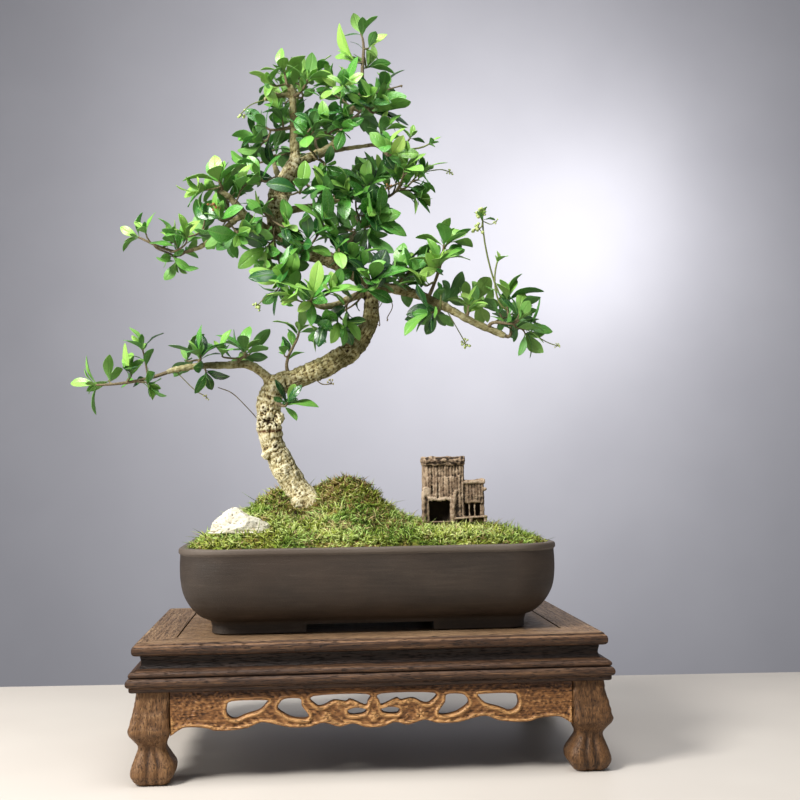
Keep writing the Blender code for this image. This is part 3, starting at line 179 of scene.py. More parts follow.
def rough(points, scale, octaves=1, offset=0.0):
    """Soft noise at each point; scale is cycles per millimetre."""
    total = np.zeros(len(points))
    for octave in range(octaves):
        factor = scale * 2 ** octave
        total += [noise.noise(Vector(p) * factor + Vector((offset, 7.1 * octave, 0))) / 2 ** octave
                  for p in points]
    return total


def soft_step(values, start, reach):
    """From 0 at a start up to 1 at a reach beyond it."""
    return np.clip((values - start) / reach, 0, 1)


def curve_steps(padded, steps):
    """Catmull-Rom curve through all but the first of some points and the last two."""
    route = []
    for a, b, c, d in zip(padded, padded[1:], padded[2:], padded[3:]):
        for step in range(steps):
            t = step / steps
            route.append(0.5 * (2 * b + (c - a) * t + (2 * a - 5 * b + 4 * c - d) * t * t
                                + (3 * b - a - 3 * c + d) * t * t * t))
    return route


def smooth_route(points, steps):
    """Smooth curve through given points of any width."""
    nodes = [Vector(point) for point in points]
    padded = [2 * nodes[0] - nodes[1], *nodes, 2 * nodes[-1] - nodes[-2]]
    return curve_steps(padded, steps) + [nodes[-1]]


def smooth_loop(points, steps):
    """Smooth closed curve through points."""
    nodes = [Vector(point) for point in points]
    return curve_steps([nodes[-1], *nodes, *nodes[:2]], steps)


def loft(rings, flipped=False):
    """Points and faces of a closed solid through rings with equal point counts."""
    count = len(rings[0])
    points = [point for ring in rings for point in ring]
    faces = []
    for low in range(0, len(points) - count, count):
        for i in range(count):
            j = (i + 1) % count
            faces.append((low + i, low + j, low + count + j, low + count + i))
    faces.append(tuple(range(count))[::-1])
    faces.append(tuple(range(len(points) - count, len(points))))
    return points, [face[::-1] for face in faces] if flipped else faces


def box(low, high):
    """Points and faces of a box between two corners."""
    (x0, y0, z0), (x1, y1, z1) = low, high
    ring = ((x0, y0), (x1, y0), (x1, y1), (x0, y1))
    return loft([[(x, y, z) for x, y in ring] for z in (z0, z1)])


def tube(route, radii, sides):
    """A round closed tube along a route, as points and faces."""
    route = [Vector(place) for place in route]
    side = (route[1] - route[0]).orthogonal().normalized()
    rings = []
    for index, (place, radius) in enumerate(zip(route, radii)):
        ahead = (route[min(index + 1, len(route) - 1)] - route[max(index - 1, 0)]).normalized()
        side = (side - ahead * side.dot(ahead)).normalized()
        other = ahead.cross(side)
        turns = [2 * math.pi * step / sides for step in range(sides)]
        rings.append([place + (side * math.cos(turn) + other * math.sin(turn)) * radius for turn in turns])
    return loft(rings)


def ellipsoid(centre, reach, rings=8, sides=12):
    """A closed egg shape, as points and faces."""
    centre = Vector(centre)
    points = [centre - UP * reach[2]]
    for ring in range(1, rings):
        polar = math.pi * ring / rings
        for side in range(sides):
            angle = 2 * math.pi * side / sides
            points.append(centre + Vector((reach[0] * math.sin(polar) * math.cos(angle),
                                           reach[1] * math.sin(polar) * math.sin(angle),
                                           -reach[2] * math.cos(polar))))
    points.append(centre + UP * reach[2])
    top = len(points) - 1
    faces = []
    for side in range(sides):
        after = (side + 1) % sides
        faces.append((0, 1 + after, 1 + side))
        faces.append((top, top - sides + side, top - sides + after))
        for ring in range(rings - 2):
            low = 1 + ring * sides
            faces.append((low + side, low + after, low + sides + after, low + sides + side))
    return points, faces


class Pile:
    """Points, faces and notes of many shapes that become one mesh."""

    def __init__(self):
        self.points = []
        self.faces = []
        self.face_material = []
        self.notes = {}

    def add(self, points, faces, material=0, **notes):
        """Add a shape; a note is one value, or one for each of its points."""
        start = len(self.points)
        self.points += [tuple(point) for point in points]
        self.faces += [tuple(start + corner for corner in face) for face in faces]
        self.face_material += [material] * len(faces)
        for name, value in notes.items():
            column = self.notes.setdefault(name, [])
            column += [0.0] * (start - len(column))
            column += list(value) if hasattr(value, "__len__") else [value] * len(points)

    def mesh(self, name, smooth_angle=None):
        """The mesh of all the shapes, with their notes."""
        mesh = new_mesh(name, self.points, self.faces, smooth_angle)
        mesh.polygons.foreach_set("material_index", self.face_material)
        for key, column in self.notes.items():
            note(mesh, key, column + [0.0] * (len(self.points) - len(column)))
        return mesh


def finder_of(points):
    """A tree that finds the points near a place."""
    finder = KDTree(len(points))
    for index, point in enumerate(points):
        finder.insert(point, index)
    finder.balance()
    return finder


# Materials

class Shade:
    """A node material in the making; its places are in millimetres."""

    def __init__(self, name, **sockets):
        self.material = bpy.data.materials.new(name)
        self.material.use_nodes = True
        self.tree = self.material.node_tree
        self.shader = self.tree.nodes["Principled BSDF"]
        for socket, value in sockets.items():
            self.shader.inputs[socket.replace("_", " ")].default_value = value
        place = self.node("TexCoord").outputs["Object"]
        self.place = self.scaled(place, (1 / MM, 1 / MM, 1 / MM))

    def feed(self, socket, value):
        """Link or set the input of a node."""
        if isinstance(value, bpy.types.NodeSocket):
            self.tree.links.new(value, socket)
        elif socket.type == "RGBA" and len(value) == 3:
            socket.default_value = (*value, 1.0)
        else:
            socket.default_value = value

    def node(self, kind, **inputs):
        """A new node with some of its inputs fed."""
        made = self.tree.nodes.new("ShaderNode" + kind)
        for name, value in inputs.items():
            self.feed(made.inputs[name.replace("_", " ")], value)
        return made

    def scaled(self, vector, scale):
        """A place stretched along each axis."""
        return self.node("Mapping", Vector=vector, Scale=scale).outputs[0]

    def attribute(self, name, vector=False):
        """A note of the mesh, as a number or a vector."""
        made = self.node("Attribute")
        made.attribute_name = name
        return made.outputs["Vector" if vector else "Fac"]

    def noise(self, scale, detail=3.0, roughness=0.55, vector=None, distortion=0.0):
        """Soft noise at a place, which is the point itself unless another is given."""
        vector = vector or self.place
        return self.node("TexNoise", Vector=vector, Scale=scale, Detail=detail, Roughness=roughness,
                         Distortion=distortion).outputs[0]

    def cells(self, scale):
        """Distance from the middle of the closest of many scattered cells."""
        return self.node("TexVoronoi", Vector=self.place, Scale=scale).outputs["Distance"]

    def operation(self, kind, a, b=0.0):
        """The result of one operation on one or two values."""
        made = self.node("Math")
        made.operation = kind
        self.feed(made.inputs[0], a)
        self.feed(made.inputs[1], b)
        return made.outputs[0]

    def times(self, a, b):
        """The product of two values."""
        return self.operation("MULTIPLY", a, b)

    def mixed(self, parts, base=0.0):
        """A base plus the weighted sum of some values."""
        total = base
        for value, weight in parts:
            total = self.operation("ADD", total, self.times(value, weight))
        return total

    def ramp(self, value, *stops):
        """A ramp of greys or colours, each given with its position."""
        made = self.node("ValToRGB")
        self.feed(made.inputs[0], value)
        elements = made.color_ramp.elements
        while len(elements) < len(stops):
            elements.new(0.5)
        for element, (position, *colour) in zip(elements, stops):
            element.position = position
            element.color = (*(colour * 3)[:3], 1.0)
        return made.outputs[0]

    def blend(self, share, a, b, kind="MIX"):
        """A colour part of the way from one to another."""
        made = self.node("Mix")
        made.data_type = "RGBA"
        made.blend_type = kind
        made.clamp_factor = True
        for index, value in ((0, share), (6, a), (7, b)):
            self.feed(made.inputs[index], value)
        return made.outputs[2]

    def finish(self, colour, roughness, height, depth):
        """Join colour, roughness and a bump of a given depth in millimetres."""
        bump = self.node("Bump", Height=height, Distance=depth * MM, Strength=1.0)
        for name, value in (("Base Color", colour), ("Roughness", roughness), ("Normal", bump.outputs[0])):
            self.feed(self.shader.inputs[name], value)
        return self.material


def leaf_material():
    """Glossy leaf: dark when old, yellow-green when young, with a midrib and side veins."""
    s = Shade("leaf_green", Specular_IOR_Level=0.62)
    tone, along, across, under = (s.attribute(name) for name in ("tone", "along", "across", "under"))
    off_middle = s.operation("ABSOLUTE", across)
    key = s.mixed(((s.noise(0.16, 2.0), 0.24), (s.noise(1.4, 2.0), 0.10)), s.operation("ADD", tone, -0.135))
    top = s.ramp(key, (0.0, 0.006, 0.034, 0.010), (0.28, 0.022, 0.118, 0.022), (0.52, 0.104, 0.345, 0.048),
                 (0.78, 0.275, 0.525, 0.092), (1.0, 0.360, 0.580, 0.110))
    midrib = s.ramp(off_middle, (0.0, 1.0), (0.10, 0.35), (0.20, 0.0))
    slant = s.operation("SUBTRACT", s.times(along, 8.0), s.times(off_middle, 1.7))
    wave = s.operation("ABSOLUTE", s.operation("SINE", s.times(slant, math.pi)))
    vein = s.ramp(wave, (0.0, 1.0), (0.22, 0.0))
    colour = s.blend(s.times(vein, 0.12), top, (0.17, 0.44, 0.07))
    colour = s.blend(s.times(midrib, 0.34), colour, (0.26, 0.52, 0.11))
    colour = s.blend(under, colour, s.blend(0.50, colour, (0.11, 0.27, 0.06)))
    gloss = s.mixed(((s.noise(0.6, 3.0), 0.20), (under, 0.20), (tone, 0.24)), 0.08)
    height = s.mixed(((midrib, -0.8), (vein, -0.35), (s.noise(2.2, 2.0), 0.30)), 0.5)
    return s.finish(colour, gloss, height, 0.35)


def twig_material():
    """Thin stems: grey-brown bark on the old ones, green on the young ones."""
    s = Shade("twig_bark", Specular_IOR_Level=0.3)
    speck = s.noise(1.1, 4.0, 0.7)
    old = s.ramp(speck, (0.28, 0.050, 0.034, 0.018), (0.5, 0.150, 0.115, 0.060), (0.72, 0.320, 0.270, 0.160))
    young = s.ramp(speck, (0.3, 0.100, 0.130, 0.035), (0.7, 0.250, 0.300, 0.090))
    return s.finish(s.blend(s.attribute("tone"), old, young), s.mixed(((speck, 0.25),), 0.55), speck, 0.4)


def bud_material():
    """Buds and small flowers: brown-orange when dry, cream-green when fresh."""
    s = Shade("buds", Specular_IOR_Level=0.3)
    speck = s.noise(1.4, 3.0, 0.6)
    dry = s.ramp(speck, (0.3, 0.120, 0.045, 0.015), (0.7, 0.420, 0.200, 0.070))
    fresh = s.ramp(speck, (0.3, 0.300, 0.440, 0.100), (0.7, 0.660, 0.760, 0.340))
    return s.finish(s.blend(s.attribute("tone"), dry, fresh), s.mixed(((speck, 0.2),), 0.5), speck, 0.3)


def bark_material():
    """Pale tan bark with knots, a grey-green tint higher up, and painted shade darkening its cracks."""
    s = Shade("bark", Specular_IOR_Level=0.25)
    hollow, knot, rise, scar = (s.attribute(name) for name in ("hollow", "knot", "rise", "scar"))
    fibre = s.noise(1.0, 5.0, 0.65, s.scaled(s.attribute("grain", True), (0.9, 0.9, 0.16)))
    patch = s.noise(0.10, 3.0, 0.6)
    speck = s.noise(0.9, 4.0, 0.7)
    # Painted shade: the hollow note darkens the bark's cracks.
    key = s.mixed(((fibre, 0.62), (patch, 0.50), (speck, 0.50), (rise, -0.08), (hollow, -1.05)), -0.215)
    colour = s.ramp(key, (0.12, 0.036, 0.021, 0.008), (0.30, 0.130, 0.085, 0.034),
                    (0.46, 0.360, 0.285, 0.130), (0.68, 0.640, 0.555, 0.310), (0.92, 0.850, 0.790, 0.560))
    greened = s.times(s.ramp(s.noise(0.07, 2.0), (0.42, 0.0), (0.62, 1.0)), rise)
    colour = s.blend(s.times(greened, 0.62), colour, (0.095, 0.098, 0.032))
    colour = s.blend(s.times(rise, 0.78), colour, (0.43, 0.44, 0.32), "MULTIPLY")
    colour = s.blend(s.times(scar, 0.60), colour, (0.170, 0.062, 0.034))
    colour = s.blend(s.times(knot, 0.90), colour, (0.026, 0.014, 0.006))
    height = s.mixed(((fibre, 0.6), (speck, 0.5), (s.noise(2.8, 3.0), 0.25)))
    return s.finish(colour, s.mixed(((speck, 0.2),), 0.68), height, 1.1)


def moss_material():
    """Moss from brown dry ends through olive to bright yellow-green."""
    s = Shade("moss", Specular_IOR_Level=0.2)
    key = s.mixed(((s.noise(0.5, 3.0), 0.16),), s.operation("ADD", s.attribute("tone"), -0.08))
    green = s.ramp(key, (0.0, 0.020, 0.022, 0.002), (0.25, 0.080, 0.094, 0.006), (0.50, 0.225, 0.270, 0.024),
                   (0.75, 0.450, 0.520, 0.085), (1.0, 0.760, 0.800, 0.330))
    fresh = s.ramp(key, (0.0, 0.012, 0.022, 0.003), (0.5, 0.120, 0.255, 0.022), (1.0, 0.520, 0.760, 0.220))
    green = s.blend(s.ramp(s.noise(0.035, 3.0), (0.40, 0.0), (0.62, 0.85)), green, fresh)
    brown = s.ramp(key, (0.1, 0.045, 0.018, 0.007), (0.5, 0.250, 0.120, 0.050), (0.9, 0.600, 0.400, 0.230))
    colour = s.blend(s.times(s.attribute("dry"), 0.9), green, brown)
    return s.finish(colour, s.mixed(((s.noise(1.0), 0.2),), 0.6), s.noise(2.5, 3.0), 0.4)


def soil_material():
    """Dark crumbly earth."""
    s = Shade("soil", Specular_IOR_Level=0.2)
    crumb = s.noise(0.5, 6.0, 0.7)
    colour = s.ramp(crumb, (0.3, 0.012, 0.008, 0.005), (0.55, 0.045, 0.030, 0.018),
                    (0.75, 0.110, 0.080, 0.050))
    return s.finish(colour, s.mixed(((crumb, 0.15),), 0.85), crumb, 1.5)


def wood_material(name, dark, middle, light, gloss, relief):
    """Open-pored wood whose grain runs along the first number of the grain note."""
    s = Shade(name, Specular_IOR_Level=0.35)
    grain = s.attribute("grain", vector=True)
    streak = s.noise(1.0, 5.0, 0.6, s.scaled(grain, (0.018, 0.55, 0.55)), 0.6)
    fine = s.noise(1.0, 4.0, 0.6, s.scaled(grain, (0.10, 2.6, 2.6)))
    pores = s.ramp(s.noise(1.0, 2.0, 0.5, s.scaled(grain, (0.16, 1.7, 1.7))), (0.34, 1.0), (0.43, 0.0))
    # Painted shade: the hollow note, weighted by relief, darkens grooves, hollows, undersides and the right
    # legs, and paints a highlight where it is negative.
    parts = ((streak, 0.85), (fine, 0.60), (s.noise(0.02, 2.0), 0.20), (s.attribute("hollow"), -relief))
    key = s.mixed(parts, -0.32 + 0.3 * relief)
    colour = s.ramp(key, (0.18, *dark), (0.50, *middle), (0.82, *light))
    # Painted reflection: top faces lightened to pale tan, as they look at a grazing angle.
    top_sheen = s.ramp(key, (0.30, 0.085, 0.044, 0.020), (0.50, 0.270, 0.160, 0.082), (0.72, 0.480, 0.330, 0.190))
    colour = s.blend(s.times(s.attribute("top_sheen"), 0.85), colour, top_sheen)
    colour = s.blend(s.times(pores, 0.75), colour, [channel * 0.35 for channel in dark])
    height = s.mixed(((fine, 0.5), (pores, -1.0), (streak, 0.4)), 1.0)
    return s.finish(colour, s.mixed(((fine, 0.25), (pores, 0.25)), gloss), height, 0.45)


def pot_material():
    """Unglazed dark clay, grey-brown, with fine grit and a painted highlight along the rim."""
    s = Shade("pot_clay", Specular_IOR_Level=0.35)
    cloud = s.noise(0.018, 4.0, 0.6, s.scaled(s.place, (0.6, 0.6, 1.6)))
    grit = s.noise(1.3, 4.0, 0.7)
    smear = s.noise(1.0, 4.0, 0.6, s.scaled(s.place, (0.03, 0.03, 0.5)))
    key = s.mixed(((cloud, 0.8), (grit, 0.3), (smear, 0.35)), -0.2)
    colour = s.ramp(key, (0.2, 0.014, 0.010, 0.007), (0.5, 0.031, 0.022, 0.016), (0.8, 0.066, 0.048, 0.035))
    # Painted highlight: the rim's band, marked by a negative hollow note, lightened to pale grey-brown.
    edge = s.ramp(s.times(s.attribute("hollow"), -4.0), (0.12, 0.0), (0.8, 1.0))
    colour = s.blend(s.times(edge, 0.65), colour, (0.250, 0.205, 0.165))
    warm = s.ramp(s.noise(0.011, 3.0, 0.6), (0.42, 0.0), (0.66, 0.40))
    colour = s.blend(warm, colour, (0.062, 0.040, 0.027))
    scuffs = s.noise(1.0, 5.0, 0.65, s.scaled(s.place, (0.035, 0.035, 0.28)))
    colour = s.blend(s.ramp(scuffs, (0.58, 0.0), (0.78, 0.16)), colour, (0.130, 0.105, 0.082))
    specks = s.ramp(s.cells(0.8), (0.08, 1.0), (0.16, 0.0))
    colour = s.blend(s.times(specks, 0.25), colour, (0.200, 0.170, 0.130))
    gloss = s.mixed(((grit, 0.26), (cloud, 0.12)), 0.36)
    return s.finish(colour, gloss, s.mixed(((grit, 0.8), (smear, 0.4))), 0.45)


def stone_material():
    """White rock with faint grey beds, pits and a darker brown tint in its hollows."""
    s = Shade("white_stone", Specular_IOR_Level=0.3)
    bed = s.noise(0.09, 5.0, 0.6, s.scaled(s.place, (1.0, 1.0, 2.2)), 1.2)
    grit = s.noise(1.2, 4.0, 0.7)
    colour = s.ramp(s.mixed(((bed, 0.8), (grit, 0.25))), (0.3, 0.30, 0.26, 0.18), (0.48, 0.60, 0.56, 0.44),
                    (0.68, 0.82, 0.79, 0.66))
    hollow_tint = s.ramp(s.attribute("hollow"), (0.02, 0.0), (0.28, 1.0))
    colour = s.blend(s.times(hollow_tint, 0.8), colour, (0.16, 0.12, 0.07))
    return s.finish(colour, s.mixed(((grit, 0.2),), 0.6), s.mixed(((grit, 0.6), (bed, 0.6))), 0.9)


def hut_material():
    """Fired clay with painted shade in its gaps and painted highlights on its ridges."""
    s = Shade("hut_clay", Specular_IOR_Level=0.25)
    grit = s.noise(1.1, 4.0, 0.7)
    key = s.mixed(((grit, 0.4), (s.noise(0.11, 3.0, 0.6), 0.7)))
    colour = s.ramp(key, (0.3, 0.062, 0.034, 0.020), (0.52, 0.220, 0.146, 0.090), (0.72, 0.450, 0.335, 0.225))
    hollow = s.attribute("hollow")
    # Painted highlight on the ridges.
    ridge = s.ramp(s.times(hollow, -1.0), (0.05, 0.0), (0.40, 1.0))
    colour = s.blend(s.times(ridge, 0.60), colour, (0.600, 0.480, 0.350))
    # Painted shade in the gaps.
    gap = s.ramp(s.operation("ADD", hollow, 0.03), (0.0, 0.0), (0.24, 1.0))
    colour = s.blend(s.times(gap, 0.92), colour, (0.014, 0.009, 0.006))
    return s.finish(colour, s.mixed(((grit, 0.2),), 0.7), grit, 0.6)


LEAF = leaf_material()
TWIG = twig_material()
BUD = bud_material()
BARK = bark_material()
MOSS = moss_material()
SOIL = soil_material()
DARK_WOOD = wood_material("dark_wood", (0.010, 0.004, 0.002), (0.052, 0.023, 0.010), (0.215, 0.115, 0.055),
                          0.42, 0.30)
CARVED_WOOD = wood_material("carved_wood", (0.045, 0.016, 0.005), (0.222, 0.094, 0.029),
                            (0.520, 0.280, 0.105), 0.34, 0.55)
LEG_WOOD = wood_material("leg_wood", (0.028, 0.012, 0.004), (0.130, 0.060, 0.021), (0.290, 0.158, 0.068),
                         0.38, 0.40)
POT_CLAY = pot_material()
WHITE_STONE = stone_material()
HUT_CLAY = hut_material()


# Display stand

STAND_LENGTH = 360.0
STAND_DEPTH = 235.0
LEG_INSET = 3.0
APRON_THICKNESS = 7.0
RAIL_BOTTOM = 68.5
JOINT_GAP = 0.3
HALF_LENGTH, HALF_DEPTH = STAND_LENGTH / 2, STAND_DEPTH / 2
SIDES = (("front", HALF_LENGTH, HALF_DEPTH, 0), ("right", HALF_DEPTH, HALF_LENGTH, 90),
         ("back", HALF_LENGTH, HALF_DEPTH, 180), ("left", HALF_DEPTH, HALF_LENGTH, 270))

# Inset from the widest line and height; a third number marks a corner that stays sharp.
FRAME_PROFILE = (
    (34.0, 95.0, 1), (5.2, 95.0), (1.8, 95.5), (0.3, 97.0), (0.0, 99.2), (0.2, 101.2), (1.0, 102.6),
    (2.0, 103.0, 1), (2.4, 104.2), (3.6, 104.9), (5.0, 105.0), (30.0, 105.0, 1), (30.0, 98.4, 1),
    (34.0, 98.4, 1),
)
RAIL_PROFILE = (
    (22.0, 68.5, 1), (1.0, 68.5), (-1.2, 69.2), (-1.7, 71.0), (-1.5, 72.6, 1), (-2.9, 73.0), (-3.9, 74.4),
    (-4.1, 76.2), (-3.5, 78.0), (-2.2, 79.2), (-0.3, 79.4, 1), (-1.7, 80.2), (-2.2, 81.6), (-1.6, 83.2),
    (0.4, 84.4), (2.6, 85.2), (5.6, 85.8, 1), (6.6, 88.0), (6.8, 90.4), (6.2, 93.0), (5.8, 94.7, 1),
    (22.0, 94.7, 1),
)
# The strips are painted in shade further in than the waist's inset and below its top. The rest are heights.
WAIST_INSET = 5.0
WAIST_TOP = 95.0
# The rail's groove and foot get painted shade, the frame's edge a painted highlight line, and its top a
# painted reflection.
RAIL_GROOVE = 79.6
RAIL_FOOT = 71.5
FRAME_HIGHLIGHT = 102.7
FRAME_TOP = 104.2     # above this the wood is painted with a pale reflection
PANEL_BEVEL = 1.0
PANEL_FOOT_BEVEL = 0.6


def rounded_profile(profile, rounds=2):
    """Cut the soft corners of a closed profile, and keep those marked sharp."""
    rows = [(Vector(row[:2]), len(row) > 2) for row in profile]
    for _ in range(rounds):
        cut_rows = []
        for index, (point, sharp) in enumerate(rows):
            around = rows[index - 1][0], rows[(index + 1) % len(rows)][0]
            if sharp:
                cut_rows.append((point, True))
            else:
                cut_rows += [(point.lerp(other, 0.25), False) for other in around]
        rows = cut_rows
    return [tuple(point) for point, _ in rows]


def add_wood(name, node, shape, grain, material, smooth_angle, hollow, top_sheen=0.0):
    """Add a piece of the stand, with its grain, how deep in painted shade it lies and where a painted
    reflection makes it pale.
    """
    mesh = new_mesh(name, *shape, smooth_angle)
    level = np.zeros(len(mesh.vertices))
    for key, values in (("grain", grain), ("hollow", level + hollow), ("top_sheen", level + top_sheen)):
        note(mesh, key, values)
    add_piece(name, mesh, [material], "dark_wood" if material is DARK_WOOD else "carved_wood", node)


def build_strip(kind, profile, index, side, run, across, angle):
    """A mitred strip of the frame round the panel, or a moulded rail under it."""
    rings = []
    for end in (1, -1):
        rings.append([(end * (run - inset - JOINT_GAP * 0.7), inset - across, height)
                      for inset, height in rounded_profile(profile)])
    points, faces = loft(rings)
    points = np.asarray(points)
    inset, height = across + points[:, 1], points[:, 2]
    # Painted shade in the waist, the rail's groove and its lowest band; a painted highlight on the frame's
    # edge line.
    hollow = np.where((inset > WAIST_INSET) & (height < WAIST_TOP), 1.4, 0.3)
    if kind == "rail":
        hollow = np.where(np.abs(height - RAIL_GROOVE) < 0.5, 1.1, hollow)
        hollow = np.where(height < RAIL_FOOT, 0.8, hollow)
    else:
        hollow = np.where(np.abs(height - FRAME_HIGHLIGHT) < 0.5, -0.5, hollow)
    grain = points + (400.0 * index, 90.0 * index, 35.0 * (kind == "rail"))
    # Painted reflection on the frame's top face.
    top_sheen = soft_step(height, FRAME_TOP, 1)
    shape = turned(points, angle), faces
    add_wood(f"{side}_{kind}", f"stand_{kind}_{side}", shape, grain, DARK_WOOD, 32, hollow, top_sheen)


def build_panel():
    """The panel inside the frame, with a bevelled edge."""
    (left, front, bottom), (right, back, top) = ((np.array(corner) - SHIFT) / MM for corner in PANEL_BOX)
    rings = []
    for inset, height in ((PANEL_FOOT_BEVEL, bottom), (0.0, bottom + PANEL_FOOT_BEVEL),
                          (0.0, top - PANEL_BEVEL), (PANEL_BEVEL, top)):
        rings.append([(left + inset, front + inset, height), (right - inset, front + inset, height),
                      (right - inset, back - inset, height), (left + inset, back - inset, height)])
    points, faces = loft(rings)
    points = np.asarray(points)
    # Painted reflection over the panel's whole top.
    top_sheen = soft_step(points[:, 2], bottom, 1)
    grain = points + (1700.0, 300.0, 0.0)
    add_wood("top_panel", "stand_panel", (points, faces), grain, DARK_WOOD, 30, 0.3, top_sheen)


# Half of each apron's lower edge, from the leg to the middle, its openings and its blossoms.
LONG_APRON = (
    ((151.7, 36.0), (144.0, 41.0), (138.0, 42.3), (125.0, 41.2), (119.0, 39.2), (108.0, 39.0),
     (95.0, 40.5), (85.0, 44.2), (76.0, 43.0), (63.0, 40.0), (48.0, 40.0), (38.0, 42.6),
     (26.0, 39.4), (16.0, 41.4), (6.0, 38.4)),
    (((106, 60.5), (80.5, 60.5), (80.7, 58), (84, 54.3), (88, 52.2), (96, 50), (103, 47.2),
      (107.5, 48.4), (110, 51.5), (110, 56)),
     ((67, 61), (55.5, 61), (54, 55.5), (49, 48.5), (51.5, 45.7), (61, 46.8), (68, 50.4),
      (72, 54), (71, 57.5)),
     ((45.6, 62.5), (5.5, 63), (4.6, 57), (6, 54.3), (10.6, 56), (17.7, 59), (21, 57.4),
      (30, 58.6), (38, 55), (43, 55.5)),
     ((19.5, 51.3), (13.7, 53), (6, 52), (6.6, 49.3), (10.6, 48), (17.7, 48))),
    ((25.5, 58.6), (12.0, 58.4), (35.0, 47.5), (0.0, 46.5)),
)
SHORT_APRON = (
    ((89.2, 36.0), (82.0, 41.0), (75.0, 42.0), (66.0, 40.2), (55.0, 40.4), (46.0, 43.4),
     (37.0, 42.6), (28.0, 40.2), (16.0, 42.2), (6.0, 39.0)),
    (((66, 60.5), (42, 60.5), (42.5, 57), (47, 53.5), (55, 50.5), (63, 48), (68, 50), (69.5, 55)),
     ((34, 62.5), (5.5, 63), (4.8, 57), (8, 54.5), (14, 58), (21, 58.4), (27, 55.2), (33, 56.5))),
    ((38.0, 50.0), (20.0, 50.5), (0.0, 47.0)),
)
APRON_TOP = RAIL_BOTTOM - JOINT_GAP
CARVE_LOW = 36.5     # lowest row of points on a board's face
CARVE_STEP = 1.0
LOWER_EDGE = 50.0     # the bead along the outline runs below this height
SHADE_LOW = 60.0     # the rail above shades the board from here up


def distances(points, loop):
    """Distance of each 2-D point from a closed loop of 2-D points."""
    loop = np.asarray(loop, float)
    nearest = np.full(len(points), 1e9)
    for a, b in zip(loop, np.roll(loop, -1, axis=0)):
        along = b - a
        share = np.clip(((points - a) @ along) / max(along @ along, 1e-9), 0, 1)
        nearest = np.minimum(nearest, np.linalg.norm(points - a - share[:, None] * along, axis=1))
    return nearest


def inside(points, loop):
    """Whether each 2-D point lies in a closed loop."""
    loop = np.asarray(loop, float)
    result = np.zeros(len(points), bool)
    for (ax, ay), (bx, by) in zip(loop, np.roll(loop, -1, axis=0)):
        crosses = (ay > points[:, 1]) != (by > points[:, 1])
        with np.errstate(divide="ignore", invalid="ignore"):
            level = ax + (points[:, 1] - ay) * (bx - ax) / (by - ay)
        result ^= crosses & (points[:, 0] < level)
    return result


def in_wood(points, outline, holes):
    """Whether each 2-D point lies on the board and in none of its openings."""
    result = inside(points, outline)
    for hole in holes:
        result &= ~inside(points, hole)
    return result


def spaced(loop, step):
    """The points of a closed loop with none closer than a step."""
    kept = [loop[0]]
    for point in loop[1:]:
        if (point - kept[-1]).length >= step and (point - loop[0]).length >= step * 0.6:
            kept.append(point)
    return kept


def ridge(distance, middle, reach):
    """A smooth ridge across a distance, 1 at its middle."""
    return np.exp(-((distance - middle) / reach) ** 2)


def flat_noise(x, z, scale_x, scale_z, offset):
    """Soft noise over the board's face."""
    return np.array([noise.noise(Vector((a * scale_x, b * scale_z, offset))) for a, b in zip(x, z)])


def carving(points, openings, outline, blossoms, half_run):
    """Height of the carved relief at each 2-D point of an apron."""
    x, z = np.abs(points[:, 0]), points[:, 1]
    near = np.full(len(points), 1e9)
    bead = np.zeros(len(points))
    for opening in openings:
        gap = distances(points, opening)
        near = np.minimum(near, gap)
        middle = sum(corner[1] for corner in opening) / len(opening)
        bead = np.maximum(bead, ridge(gap, 1.5, 1.0) * (0.8 + 0.9 * soft_step(middle - z, 0, 4)))
    rim = distances(points, outline)
    relief = bead + ridge(np.where(z < LOWER_EDGE, rim, 9.0), 1.4, 1.0)
    flat = soft_step(near, 2.6, 1.5)
    shoulder = soft_step(x, half_run * 0.62, half_run * 0.12)
    warp = flat_noise(x, z, 0.07, 0.11, 3.0)
    bumps = flat_noise(points[:, 0], z, 0.42, 0.60, 8.0)
    ripple = np.sin(x * 0.55 + z * 1.35 + warp * 10.0)
    scratches = np.sin(x * 1.55 - z * 1.25 + warp * 13.0)
    relief += flat * shoulder * (0.20 * ripple + 0.18 * scratches + 0.55 * bumps)
    ribs = np.sin((x * 0.75 - z * 0.85) * 1.15 + warp * 2.0)
    relief += flat * (1 - shoulder) * (0.28 * ribs + 0.50 * bumps)
    for centre_x, centre_z in blossoms:
        dx, dz = x - centre_x, z - centre_z
        r = np.hypot(dx, dz)
        petals = 0.6 + 0.4 * np.cos(5 * np.arctan2(dz, dx))
        bloom = 1.5 * ridge(r, 2.3, 1.3) * petals + 1.3 * ridge(r, 0.0, 0.9)
        relief = relief * (1 - 0.8 * np.exp(-(r / 4.2) ** 4)) + bloom
    return relief * soft_step(rim, 0, 0.7)


def apron_loops(half_edge, half_openings):
    """The whole outline of an apron and all its openings, from one half of each."""
    end, low = half_edge[0]
    edge = smooth_route([*half_edge, *((-x, z) for x, z in reversed(half_edge))], 4)
    one_end = [Vector((end, z)) for z in np.linspace(APRON_TOP, low, 12)[:-1]]
    other_end = [Vector((-end, z)) for z in np.linspace(low, APRON_TOP, 12)[1:]]
    across_top = [Vector((x, APRON_TOP)) for x in np.linspace(-end, end, int(end / CARVE_STEP))[1:-1]]
    outline = spaced(one_end + edge + other_end + across_top, 0.8 * CARVE_STEP)
    holes = [spaced(smooth_loop(hole, 4), 0.7 * CARVE_STEP) for hole in half_openings]
    holes += [[Vector((-p.x, p.y)) for p in reversed(hole)] for hole in holes]
    return outline, holes


